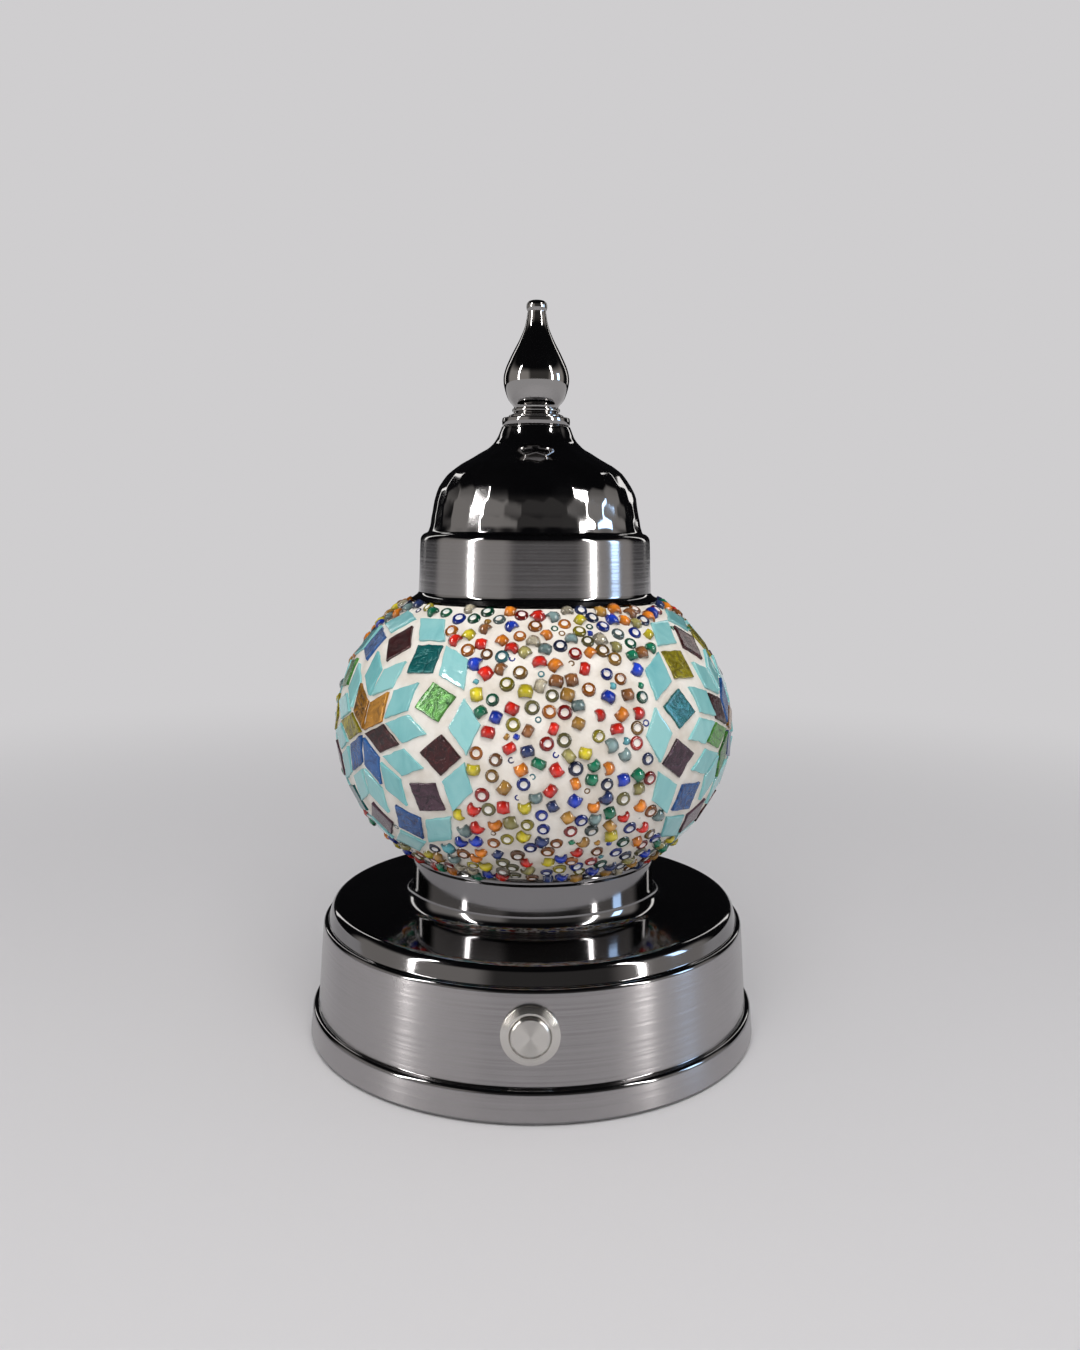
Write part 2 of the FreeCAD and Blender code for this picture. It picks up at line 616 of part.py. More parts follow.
def on_globe(medallion, u, v, grow):
    """The point of the globe, at an offset from the glass, over a place in a medallion's flat plan."""
    v = v * SQUEEZE
    reach = math.hypot(u, v) / SURFACE
    way = math.atan2(v, u)
    lon = math.radians(MEDALLIONS[medallion])
    lat = MEDALLION_LIFT / GLOBE_HALF_HEIGHT
    out = Vector(math.cos(lat) * math.sin(lon), -math.cos(lat) * math.cos(lon), math.sin(lat))
    east = Vector(math.cos(lon), math.sin(lon), 0)
    north = out.cross(east)
    q = out * math.cos(reach) + (east * math.cos(way) + north * math.sin(way)) * math.sin(reach)
    a, c = GLOBE_RADIUS + grow, GLOBE_HALF_HEIGHT + grow
    return Vector(a * q.x, a * q.y, GLOBE_CENTRE + c * q.z)


def tile(medallion, corners, rand):
    """One flat tile over four corners of the plan, set down by hand, so a little askew."""
    turn = math.radians(rand.uniform(-3.5, 3.5))
    shift = (rand.uniform(-0.3, 0.3), rand.uniform(-0.3, 0.3))
    mid = (sum(c[0] for c in corners) / 4, sum(c[1] for c in corners) / 4)
    laid = []
    for u, v in corners:
        du, dv = u - mid[0], v - mid[1]
        laid.append(
            (
                mid[0] + shift[0] + du * math.cos(turn) - dv * math.sin(turn),
                mid[1] + shift[1] + du * math.sin(turn) + dv * math.cos(turn),
            )
        )
    middle = on_globe(medallion, mid[0] + shift[0], mid[1] + shift[1], 0.0)
    a, c = GLOBE_RADIUS, GLOBE_HALF_HEIGHT
    normal = Vector(middle.x / a**2, middle.y / a**2, (middle.z - GLOBE_CENTRE) / c**2).normalize()
    foot = middle + normal * 0.06
    flat = []
    for u, v in laid:
        point = on_globe(medallion, u, v, 0.0)
        flat.append(point - normal * (point - foot).dot(normal))
    face = Part.Face(Part.makePolygon(flat + [flat[0]]))
    return face.extrude(normal * TILE)


def shrink(corners, width):
    """A convex four-cornered outline with every side moved in by half a joint."""
    inset, n = [], len(corners)
    for i in range(n):
        here, before, after = corners[i], corners[i - 1], corners[(i + 1) % n]
        first = Vector(before[0] - here[0], before[1] - here[1], 0).normalize()
        second = Vector(after[0] - here[0], after[1] - here[1], 0).normalize()
        half = first.getAngle(second) / 2
        step = (first + second).normalize() * (width / 2 / math.sin(half))
        inset.append((here[0] + step.x, here[1] + step.y))
    return inset


def polar(radius, degrees):
    return (radius * math.cos(math.radians(degrees)), radius * math.sin(math.radians(degrees)))


def diamond(radius, degrees, along, across):
    """A four-cornered outline centred at a polar place: half diagonals along and across the radius."""
    c = polar(radius, degrees)
    out, side = polar(1, degrees), polar(1, degrees + 90)
    return [
        (c[0] - out[0] * along, c[1] - out[1] * along),
        (c[0] + side[0] * across, c[1] + side[1] * across),
        (c[0] + out[0] * along, c[1] + out[1] * along),
        (c[0] - side[0] * across, c[1] - side[1] * across),
    ]


def make_tiles():
    rand = random.Random(11)
    nodes = {}
    s = RHOMB
    for m in range(3):
        start = MEDALLION_TURN[m]
        for i in range(6):
            way = start + 60 * i
            rhomb = diamond(s * math.sqrt(3) / 2, way, s * math.sqrt(3) / 2, s / 2)
            nodes.setdefault(STAR_TILES[m][i], []).append(tile(m, shrink(rhomb, JOINT), rand))
            notch = polar(s, way + 30)
            for lean in (0, 60):
                one, two = polar(s, way - 30 + lean), polar(s, way + 30 + lean)
                rhomb = [
                    notch,
                    (notch[0] + one[0], notch[1] + one[1]),
                    (notch[0] + one[0] + two[0], notch[1] + one[1] + two[1]),
                    (notch[0] + two[0], notch[1] + two[1]),
                ]
                nodes.setdefault("tiles_turquoise_inner", []).append(tile(m, shrink(rhomb, JOINT), rand))
        for i in range(12):
            way = start + 30 * i
            radius = (2.98 if i % 2 == 0 else 2.86) * s
            square = diamond(radius, way, 7.3, 7.3)
            nodes.setdefault(SQUARE_TILES[m][i], []).append(tile(m, shrink(square, 0.3), rand))
            outer = diamond(3.64 * s, way + 15, 5.3, 9.9)
            nodes.setdefault("tiles_turquoise_outer", []).append(tile(m, shrink(outer, 0.3), rand))
    return nodes


# ---- cap, its clamp and the finial -----------------------------------------------------------------------
def cap_shell():
    outside = [
        (42.2, CAP_LIP),
        (39.8, 152.6, 1.8),
        (38.9, 172.3, 2.6),
        (36.4, 173.2, 0.9),
        (33.0, 191.6, 18.0),
        (14.2, 202.5, 11.5),
        (11.4, CAP_TOP, 1.2),
        (STUD_RADIUS + 0.3, CAP_TOP),
    ]
    return spun_sheet(outside, -CAP_SHEET)


def finial():
    """The turned spire, bored for its threaded insert."""
    foot, bore = FINIAL_FOOT, INSERT_RADIUS
    spire = Part.BSplineCurve()
    spire.interpolate(
        [
            rz(7.5, 215.2),
            rz(9.6, 218.0),
            rz(10.95, 222.8),
            rz(10.6, 226.8),
            rz(8.6, 231.6),
            rz(5.7, 237.2),
            rz(3.9, 241.6),
            rz(3.0, 246.3),
        ]
    )
    tip = Part.BSplineCurve()
    tip.interpolate([rz(2.7, TOTAL_HEIGHT - 0.5), rz(1.4, TOTAL_HEIGHT - 0.13), rz(0, TOTAL_HEIGHT)])
    edges = [
        line(rz(bore, foot), rz(9.3, foot)),
        Part.Arc(rz(9.3, foot), rz(8.6, foot + 1.1), rz(7.4, foot + 1.6)).toShape(),
        Part.Arc(rz(7.4, foot + 1.6), rz(8.1, foot + 2.4), rz(7.4, foot + 3.2)).toShape(),
        line(rz(7.4, foot + 3.2), rz(7.5, 215.2)),
        spire.toShape(),
        Part.Arc(rz(3.0, 246.3), rz(3.4, TOTAL_HEIGHT - 1.9), rz(2.7, TOTAL_HEIGHT - 0.5)).toShape(),
        tip.toShape(),
        line(rz(0, TOTAL_HEIGHT), rz(0, INSERT_TOP + 2.0)),
        line(rz(0, INSERT_TOP + 2.0), rz(bore, INSERT_TOP)),
        line(rz(bore, INSERT_TOP), rz(bore, foot)),
    ]
    return turned(edges)


def clamp_bar():
    """The sprung strap under the globe's upper shoulder: two upturned ends press on the glass."""
    low, thick, half_width, reach = 144.0, 1.5, 7.0, 38.0
    bar = box((-reach, -half_width, low), (reach, half_width, low + thick))
    for side in (-1, 1):
        inner = side * (reach - thick)
        outer = side * reach
        tab = box((min(inner, outer), -half_width, low), (max(inner, outer), half_width, 147.3))
        bar = bar.fuse(tab)
    bar = bar.removeSplitter()
    return bar.cut(Part.makeCylinder(STUD_RADIUS + 0.2, 6, rz(0, low - 2)))


FINIAL_FOOT = 211.5
INSERT_RADIUS = 4.5
INSERT_TOP = 226.0


def make_cap():
    save("cap_shell", cap_shell())
    washer = closed([(3.4, 208.85), (11.3, 208.85, 0.5), (11.3, 211.45, 0.5), (3.4, 211.45)])
    save("finial_washer", turned(washer))
    save("finial", finial())
    sleeve = ring(INSERT_RADIUS - 0.02, STUD_RADIUS + THREAD_RELIEF, FINIAL_FOOT + 0.02, INSERT_TOP - 0.5)
    save("finial_insert", sleeve)
    save("clamp_bar", clamp_bar())
    save("clamp_stud", ring(STUD_RADIUS, 0, STUD_LOW, STUD_HIGH, 0.5))
    save("clamp_nut", hexagon(10.0, 138.9, 143.95, STUD_RADIUS + 0.03))
    gasket = ring(UPPER_NECK + 1.6, UPPER_NECK + 0.06, 154.2, 158.4, 0.3)
    save("cap_gasket", gasket)


def main():
    os.makedirs("parts", exist_ok=True)
    save("base_shell", base_shell())
    make_switch()
    make_underside()
    make_lamp_unit()
    make_wiring()
    save("globe_glass", globe_glass())
    save("globe_seat_ring", seat_ring())
    nodes = make_tiles()
    coat = globe_grout()
    for name, solids in nodes.items():
        save(name, solids)
    coat = coat.cut([t for solids in nodes.values() for t in solids])
    save("globe_grout", coat)
    make_cap()


main()
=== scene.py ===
"""A cordless mosaic table lamp: spun metal base, mosaic glass globe, hammered cap and turned finial."""

import math
import random

import bpy
from mathutils import Matrix, Vector, noise


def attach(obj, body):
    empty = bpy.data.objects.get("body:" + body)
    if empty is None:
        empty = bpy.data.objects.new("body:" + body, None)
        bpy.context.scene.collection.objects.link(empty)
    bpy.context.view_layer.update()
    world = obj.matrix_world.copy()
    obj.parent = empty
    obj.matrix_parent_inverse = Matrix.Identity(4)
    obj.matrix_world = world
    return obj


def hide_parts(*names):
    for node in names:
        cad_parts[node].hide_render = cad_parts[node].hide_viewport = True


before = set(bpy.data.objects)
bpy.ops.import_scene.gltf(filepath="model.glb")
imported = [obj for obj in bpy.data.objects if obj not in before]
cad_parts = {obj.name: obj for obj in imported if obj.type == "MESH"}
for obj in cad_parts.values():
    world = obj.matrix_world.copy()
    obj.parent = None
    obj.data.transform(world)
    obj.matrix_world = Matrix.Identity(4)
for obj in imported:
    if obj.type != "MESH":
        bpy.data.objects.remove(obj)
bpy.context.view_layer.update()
MM = 0.001


# ---- Camera and room -----------------------------------------------------------------------------------
# The lamp stands on a pale table in a dim room, between two upright strip lights, with a large soft
# light overhead. The metal shows the pale table low down, the dim room above it and the strips as streaks.
camera = bpy.data.objects.new("camera", bpy.data.cameras.new("camera"))
bpy.context.collection.objects.link(camera)
camera.data.sensor_width = 36.0
camera.data.lens = 31.15
camera.data.clip_start = 0.01
camera.location = (2.0 * MM, -401.7 * MM, 177.3 * MM)
looks_down = Matrix.Rotation(math.radians(90.0 - 7.53), 4, "X")
leans = Matrix.Rotation(math.radians(0.45), 4, "Z")
camera.rotation_euler = (looks_down @ leans).to_euler()
bpy.context.scene.camera = camera

bpy.context.scene.view_settings.view_transform = "Standard"
PALE = (0.625, 0.615, 0.625)
world = bpy.data.worlds.new("dim_room")
bpy.context.scene.world = world
world.use_nodes = True
sky = world.node_tree
sky.nodes.clear()
path = sky.nodes.new("ShaderNodeLightPath")
seen = sky.nodes.new("ShaderNodeBackground")
seen.inputs["Color"].default_value = (*PALE, 1)
seen.inputs["Strength"].default_value = 1.0
# What the metal sees: a grey room in front with a dark figure in its middle, and a black cloth behind.
heading = sky.nodes.new("ShaderNodeTexCoord")
parts = sky.nodes.new("ShaderNodeSeparateXYZ")
sky.links.new(heading.outputs["Generated"], parts.inputs[0])


def sky_ramp(source, start, end, low, high):
    """One soft step along a direction of the sky."""
    step = sky.nodes.new("ShaderNodeMapRange")
    step.interpolation_type = "SMOOTHSTEP"
    step.inputs["From Min"].default_value = start
    step.inputs["From Max"].default_value = end
    step.inputs["To Min"].default_value = low
    step.inputs["To Max"].default_value = high
    sky.links.new(source, step.inputs["Value"])
    return step.outputs["Result"]


def sky_maths(kind, first, second=None):
    step = sky.nodes.new("ShaderNodeMath")
    step.operation = kind
    sky.links.new(first, step.inputs[0])
    if second:
        sky.links.new(second, step.inputs[1])
    return step.outputs[0]


front = sky_ramp(parts.outputs["Y"], 0.25, 0.45, 1.0, 0.0)
below = sky_ramp(parts.outputs["Z"], 0.35, 0.62, 1.0, 0.0)
aside = sky_maths("ADD", parts.outputs["X"])
aside.node.inputs[1].default_value = -0.16
figure = sky_ramp(sky_maths("ABSOLUTE", aside), 0.46, 0.68, 0.16, 1.0)
room = sky_maths("MULTIPLY", sky_maths("MULTIPLY", front, below), figure)
room_colour = sky.nodes.new("ShaderNodeMix")
room_colour.data_type = "RGBA"
room_colour.inputs[6].default_value = (0.006, 0.006, 0.007, 1)
room_colour.inputs[7].default_value = (0.46, 0.435, 0.41, 1)
sky.links.new(room, room_colour.inputs[0])
dim = sky.nodes.new("ShaderNodeBackground")
sky.links.new(room_colour.outputs[2], dim.inputs["Color"])
soft = sky.nodes.new("ShaderNodeBackground")
soft.inputs["Color"].default_value = (0.45, 0.45, 0.46, 1)
by_gloss = sky.nodes.new("ShaderNodeMixShader")
by_eye = sky.nodes.new("ShaderNodeMixShader")
out = sky.nodes.new("ShaderNodeOutputWorld")
sky.links.new(path.outputs["Is Glossy Ray"], by_gloss.inputs[0])
sky.links.new(soft.outputs[0], by_gloss.inputs[1])
sky.links.new(dim.outputs[0], by_gloss.inputs[2])
sky.links.new(path.outputs["Is Camera Ray"], by_eye.inputs[0])
sky.links.new(by_gloss.outputs[0], by_eye.inputs[1])
sky.links.new(seen.outputs[0], by_eye.inputs[2])
sky.links.new(by_eye.outputs[0], out.inputs["Surface"])


def area_light(name, bearing, distance, height, size, energy, colour, streak=True):
    """A soft box that faces the lamp, at a bearing in degrees from the front, towards the right.

    A streak light only shows in the shiny metal and glass; the other kind only lights the lamp."""
    data = bpy.data.lights.new(name, "AREA")
    data.shape = "RECTANGLE"
    data.size, data.size_y = size
    data.energy = energy
    data.color = colour
    lamp = bpy.data.objects.new(name, data)
    bpy.context.collection.objects.link(lamp)
    a = math.radians(bearing)
    lamp.location = (distance * math.sin(a), -distance * math.cos(a), height)
    aim = Vector((0, 0, 0.1)) - lamp.location
    lamp.rotation_euler = aim.to_track_quat("-Z", "Y").to_euler()
    lamp.visible_glossy = streak
    lamp.visible_diffuse = not streak


area_light("strip_left", -64, 1.0, 0.55, (0.07, 0.8), 6.0, (1.0, 0.98, 0.95))
area_light("strip_right", 58, 1.0, 0.55, (0.07, 0.8), 6.0, (1.0, 0.98, 0.95))
area_light("window_right", 84, 1.4, 0.45, (0.25, 0.5), 3.0, (0.45, 0.68, 1.0))
area_light("strip_back_left", -140, 1.2, 0.6, (0.12, 0.8), 0.6, (1.0, 0.98, 0.95))
area_light("strip_back_right", 140, 1.2, 0.6, (0.12, 0.8), 0.6, (1.0, 0.98, 0.95))
area_light("overhead", 0, 0.8, 1.0, (1.2, 1.2), 13.0, (1.0, 0.985, 0.965), streak=False)

bpy.ops.object.select_all(action="DESELECT")
bpy.ops.mesh.primitive_circle_add(vertices=96, radius=6.0, fill_type="TRIFAN", location=(0, 0, 0))
table = bpy.context.object
table.name = "table_top"
pale_top = bpy.data.materials.new("pale_table_top")
pale_top.use_nodes = True
nodes, links = pale_top.node_tree.nodes, pale_top.node_tree.links
skin = nodes["Principled BSDF"]
skin.inputs["Base Color"].default_value = (0.64, 0.631, 0.645, 1)
skin.inputs["Roughness"].default_value = 0.85
far = nodes.new("ShaderNodeEmission")
far.inputs["Color"].default_value = (*PALE, 1)
place = nodes.new("ShaderNodeTexCoord")
reach = nodes.new("ShaderNodeVectorMath")
reach.operation = "LENGTH"
fade = nodes.new("ShaderNodeMapRange")
fade.interpolation_type = "SMOOTHSTEP"
fade.inputs["From Min"].default_value = 0.16
fade.inputs["From Max"].default_value = 0.80
blend = nodes.new("ShaderNodeMixShader")
links.new(place.outputs["Object"], reach.inputs[0])
links.new(reach.outputs["Value"], fade.inputs["Value"])
links.new(fade.outputs["Result"], blend.inputs[0])
links.new(skin.outputs[0], blend.inputs[1])
links.new(far.outputs[0], blend.inputs[2])
links.new(blend.outputs[0], nodes["Material Output"].inputs["Surface"])
table.data.materials.append(pale_top)


# ---- Base shell ------------------------------------------------------------------------------------------
# One disc of thin steel, spun over a form into a flange, a wall, a flat top and a collar, with its foot
# and the collar's rim rolled. It is plated in black nickel; the spinning tool's fine lines stay on the wall.
def rounded(corners, bits=7):
    """Points along (radius, height, corner radius) corners in millimetres, with each corner an arc."""
    points = []
    for i, corner in enumerate(corners):
        here = Vector(corner[:2])
        bend = corner[2] if len(corner) > 2 else 0
        if not bend or i in (0, len(corners) - 1):
            points.append(here)
            continue
        back = (Vector(corners[i - 1][:2]) - here).normalized()
        ahead = (Vector(corners[i + 1][:2]) - here).normalized()
        half = back.angle(ahead) / 2
        centre = here + (back + ahead).normalized() * (bend / math.sin(half))
        start, end = here + back * (bend / math.tan(half)), here + ahead * (bend / math.tan(half))
        for k in range(bits + 1):
            spoke = (start - centre).lerp(end - centre, k / bits)
            points.append(centre + spoke.normalized() * bend)
    return points


def turn(name, outline, steps=256, closed=True):
    """Draws an outline in the XZ plane, point by point, and spins it about the lamp's axis."""
    bpy.ops.object.select_all(action="DESELECT")
    bpy.ops.mesh.primitive_circle_add(vertices=3, radius=0.0001, location=(0, 0, 0))
    piece = bpy.context.object
    piece.name = name
    piece.data.name = name
    bpy.ops.object.mode_set(mode="EDIT")
    bpy.ops.mesh.select_all(action="SELECT")
    bpy.ops.mesh.merge(type="CENTER")
    spots = [Vector((p[0] * MM, 0, p[1] * MM)) for p in outline]
    bpy.ops.transform.translate(value=spots[0])
    for here, there in zip(spots, spots[1:] + ([spots[0]] if closed else [])):
        bpy.ops.mesh.extrude_region_move(TRANSFORM_OT_translate={"value": there - here})
    bpy.ops.mesh.select_all(action="SELECT")
    bpy.ops.mesh.spin(steps=steps, angle=2 * math.pi, center=(0, 0, 0), axis=(0, 0, 1))
    bpy.ops.mesh.select_all(action="SELECT")
    bpy.ops.mesh.remove_doubles(threshold=2e-6)
    bpy.ops.mesh.select_all(action="SELECT")
    bpy.ops.mesh.normals_make_consistent(inside=False)
    bpy.ops.object.mode_set(mode="OBJECT")
    return piece


def smooth(piece, degrees=35):
    """Rounds the shading over every edge flatter than the angle."""
    bpy.ops.object.select_all(action="DESELECT")
    piece.select_set(True)
    bpy.context.view_layer.objects.active = piece
    bpy.ops.object.shade_smooth_by_angle(angle=math.radians(degrees))


def new_finish(name, colour, roughness, metallic=0.0):
    """A material with its plain numbers on the shader itself; returns its tree and shader too."""
    made = bpy.data.materials.new(name)
    made.use_nodes = True
    shader = made.node_tree.nodes["Principled BSDF"]
    shader.inputs["Base Color"].default_value = (*colour, 1)
    shader.inputs["Roughness"].default_value = roughness
    shader.inputs["Metallic"].default_value = metallic
    return made, made.node_tree.nodes, made.node_tree.links, shader


def spun_metal(name, colour, roughness, coarse, fine, dull=0.10, smear=0.0):
    """Plated spun metal: fine lines round the lamp's axis smear its shine upright, with faint smudges."""
    made, nodes, links, shader = new_finish(name, colour, roughness, 1.0)
    place = nodes.new("ShaderNodeTexCoord")
    split = nodes.new("ShaderNodeSeparateXYZ")
    flat = nodes.new("ShaderNodeCombineXYZ")
    radius = nodes.new("ShaderNodeVectorMath")
    radius.operation = "LENGTH"
    along = nodes.new("ShaderNodeMath")
    along.operation = "MULTIPLY_ADD"
    along.inputs[1].default_value = 0.62
    links.new(place.outputs["Object"], split.inputs[0])
    links.new(split.outputs["X"], flat.inputs["X"])
    links.new(split.outputs["Y"], flat.inputs["Y"])
    links.new(flat.outputs[0], radius.inputs[0])
    links.new(radius.outputs["Value"], along.inputs[0])
    links.new(split.outputs["Z"], along.inputs[2])
    broad = nodes.new("ShaderNodeTexNoise")
    broad.noise_dimensions = "1D"
    broad.inputs["Scale"].default_value = 620.0
    broad.inputs["Detail"].default_value = 1.5
    close = nodes.new("ShaderNodeTexNoise")
    close.noise_dimensions = "1D"
    close.inputs["Scale"].default_value = 5200.0
    close.inputs["Detail"].default_value = 2.0
    links.new(along.outputs[0], broad.inputs["W"])
    links.new(along.outputs[0], close.inputs["W"])
    waves = nodes.new("ShaderNodeBump")
    waves.inputs["Strength"].default_value = 1.0
    waves.inputs["Distance"].default_value = coarse
    lines = nodes.new("ShaderNodeBump")
    lines.inputs["Strength"].default_value = 1.0
    lines.inputs["Distance"].default_value = fine
    links.new(broad.outputs["Fac"], waves.inputs["Height"])
    links.new(close.outputs["Fac"], lines.inputs["Height"])
    links.new(waves.outputs[0], lines.inputs["Normal"])
    links.new(lines.outputs[0], shader.inputs["Normal"])
    smudge = nodes.new("ShaderNodeTexNoise")
    smudge.inputs["Scale"].default_value = 55.0
    smudge.inputs["Detail"].default_value = 5.0
    spread = nodes.new("ShaderNodeMapRange")
    spread.inputs["From Min"].default_value = 0.35
    spread.inputs["From Max"].default_value = 0.75
    spread.inputs["To Min"].default_value = roughness
    spread.inputs["To Max"].default_value = roughness + dull
    links.new(place.outputs["Object"], smudge.inputs["Vector"])
    links.new(smudge.outputs["Fac"], spread.inputs["Value"])
    links.new(spread.outputs["Result"], shader.inputs["Roughness"])
    if smear:
        shader.inputs["Anisotropic"].default_value = smear
        upright = nodes.new("ShaderNodeCombineXYZ")
        upright.inputs["Z"].default_value = 1.0
        links.new(upright.outputs[0], shader.inputs["Tangent"])
    return made


shell_outside = [
    (76.2, 0.6), (77.6, 0.6, 0.5), (78.0, 1.3, 0.5), (77.2, 10.4, 1.6), (75.2, 10.8, 0.5),
    (73.1, 40.0, 1.4), (71.4, 40.4, 0.5), (69.7, 46.5, 3.4), (42.2, 46.8, 5.2), (42.2, 61.8, 0.8),
    (43.1, 62.5, 0.6), (42.9, 64.0, 0.7), (41.2, 64.0, 0.3), (41.2, 62.9),
]
shell_inside = [
    (41.2, 45.8, 6.2), (68.75, 45.5, 2.4), (70.45, 39.7, 1.5), (72.05, 39.1, 0.4),
    (74.15, 10.0, 1.5), (76.2, 9.6, 0.6), (76.8, 1.6, 0.3), (76.2, 1.6),
]
base_shell = turn("spun_base", rounded(shell_outside) + rounded(shell_inside), 320)
smooth(base_shell, 30)
# The wall gets a lighter colour than the top of the same plating: a painted reflection of the pale table.
wall_nickel_painted_reflection = spun_metal(
    "black_nickel_wall_painted_reflection", (0.40, 0.385, 0.39), 0.24, 0.000075, 0.0000060, 0.04, smear=0.90
)
top_nickel = spun_metal("black_nickel_top", (0.23, 0.225, 0.23), 0.06, 0.000004, 0.0000004, 0.05)
base_shell.data.materials.append(wall_nickel_painted_reflection)
base_shell.data.materials.append(top_nickel)
for face in base_shell.data.polygons:
    reach_out = math.hypot(face.center.x, face.center.y)
    on_wall = 11.5 * MM < face.center.z < 39.0 * MM or 1.4 * MM < face.center.z < 8.5 * MM
    face.material_index = 0 if on_wall and reach_out > 60 * MM else 1

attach(base_shell, "lamp")
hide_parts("base_shell")


# ---- Push switch -----------------------------------------------------------------------------------------
# A 16 mm stainless steel push switch, turned and brushed: a chamfered bezel, a fine groove, and a
# flat button whose face shows the lathe's circles as two opposite fans of light.
SWITCH_TILT = math.atan(2.1 / 29.2)
switch_spot = Vector((0, -(75.2 - (27.0 - 10.8) * math.tan(SWITCH_TILT)) * MM, 27.0 * MM))
switch_turn = Matrix.Translation(switch_spot) @ Matrix.Rotation(math.pi / 2 - SWITCH_TILT, 4, "X")


def place_mesh(piece, matrix):
    """Moves a finished mesh to its place, so that its object stays at the origin."""
    piece.data.transform(matrix)
    piece.data.update()


def switch_steel(name, rough):
    """Brushed steel with circles about the switch's own axis."""
    made, nodes, links, shader = new_finish(name, (0.62, 0.60, 0.57), rough, 1.0)
    place = nodes.new("ShaderNodeTexCoord")
    centre = nodes.new("ShaderNodeMapping")
    centre.vector_type = "TEXTURE"
    centre.inputs["Location"].default_value = switch_spot
    centre.inputs["Rotation"].default_value = (math.pi / 2 - SWITCH_TILT, 0, 0)
    split = nodes.new("ShaderNodeSeparateXYZ")
    flat = nodes.new("ShaderNodeCombineXYZ")
    radius = nodes.new("ShaderNodeVectorMath")
    radius.operation = "LENGTH"
    rings = nodes.new("ShaderNodeTexNoise")
    rings.noise_dimensions = "1D"
    rings.inputs["Scale"].default_value = 6500.0
    rings.inputs["Detail"].default_value = 2.0
    bump = nodes.new("ShaderNodeBump")
    bump.inputs["Strength"].default_value = 1.0
    bump.inputs["Distance"].default_value = 0.000012
    links.new(place.outputs["Object"], centre.inputs["Vector"])
    links.new(centre.outputs[0], split.inputs[0])
    links.new(split.outputs["X"], flat.inputs["X"])
    links.new(split.outputs["Y"], flat.inputs["Y"])
    links.new(flat.outputs[0], radius.inputs[0])
    links.new(radius.outputs["Value"], rings.inputs["W"])
    links.new(rings.outputs["Fac"], bump.inputs["Height"])
    links.new(bump.outputs[0], shader.inputs["Normal"])
    shader.inputs["Anisotropic"].default_value = 0.9
    spoke = nodes.new("ShaderNodeVectorMath")
    spoke.operation = "SUBTRACT"
    spoke.inputs[1].default_value = switch_spot
    links.new(place.outputs["Object"], spoke.inputs[0])
    links.new(spoke.outputs[0], shader.inputs["Tangent"])
    return made


bezel = turn(
    "switch_bezel",
    rounded([
        (6.07, 1.9), (6.1, 2.05, 0.1), (6.45, 2.3, 0.12), (7.1, 2.3, 0.15), (9.0, 1.5, 0.25),
        (9.0, 0.36, 0.1), (7.9, 0.35), (7.9, -18.0), (3.0, -18.0), (3.0, -9.0), (6.07, -9.0),
    ], 4),
    96,
)
place_mesh(bezel, switch_turn)
smooth(bezel, 30)
bezel.data.materials.append(switch_steel("brushed_bezel", 0.26))
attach(bezel, "lamp")
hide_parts("switch_body")

button = turn(
    "switch_cap",
    rounded([
        (0.0, -12.0), (2.2, -12.0), (2.2, -3.0), (5.95, -3.0), (5.95, 2.9, 0.08), (5.45, 3.4, 0.08),
        (2.5, 3.36), (0.0, 3.34),
    ], 4),
    96,
    closed=False,
)
place_mesh(button, switch_turn)
smooth(button, 30)
button.data.materials.append(switch_steel("brushed_button", 0.30))
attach(button, "button")
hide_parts("switch_button")


# ---- Globe: plaster coat ---------------------------------------------------------------------------------
# Warm white plaster is wiped over the glass once the tiles and beads are glued down. It fills every
# joint and dries matt and slightly uneven, a little lower than the tiles.
GLOBE_CENTRE = 107.4
GLASS_RADIUS = 65.9
GLASS_HALF = 53.6
COAT = 1.7


def globe_point(latitude, bearing, grow):
    """A point of the globe in millimetres, at an offset from the glass; bearings run from the front."""
    a, c = GLASS_RADIUS + grow, GLASS_HALF + grow
    flat = a * math.cos(latitude)
    height = GLOBE_CENTRE + c * math.sin(latitude)
    return Vector((flat * math.sin(bearing), -flat * math.cos(bearing), height))


def globe_normal(point):
    """The outward direction at a point of the globe."""
    a2, c2 = GLASS_RADIUS**2, GLASS_HALF**2
    return Vector((point.x / a2, point.y / a2, (point.z - GLOBE_CENTRE) / c2)).normalized()


ROWS = 110
low, high = -math.acos(42.1 / (GLASS_RADIUS + COAT)), math.acos(42.7 / (GLASS_RADIUS + COAT))
outside = [globe_point(low + (high - low) * k / ROWS, math.pi / 2, COAT) for k in range(ROWS + 1)]
low_in, high_in = -math.acos(42.1 / GLASS_RADIUS), math.acos(42.7 / GLASS_RADIUS)
inside = [globe_point(high_in + (low_in - high_in) * k / 24, math.pi / 2, 0.02) for k in range(25)]
plaster = turn("plaster_coat", [(p.x, p.z) for p in outside + inside], 300)
smooth(plaster, 60)
for corner in plaster.data.vertices:
    spot = corner.co / MM
    out_way = globe_normal(spot)
    if (Vector((spot.x, spot.y)).length / (GLASS_RADIUS + COAT)) ** 2 + (
        (spot.z - GLOBE_CENTRE) / (GLASS_HALF + COAT)
    ) ** 2 > 0.99:
        corner.co = (spot + out_way * (noise.noise(spot * 0.16) * 0.10 + noise.noise(spot * 0.6) * 0.05)) * MM

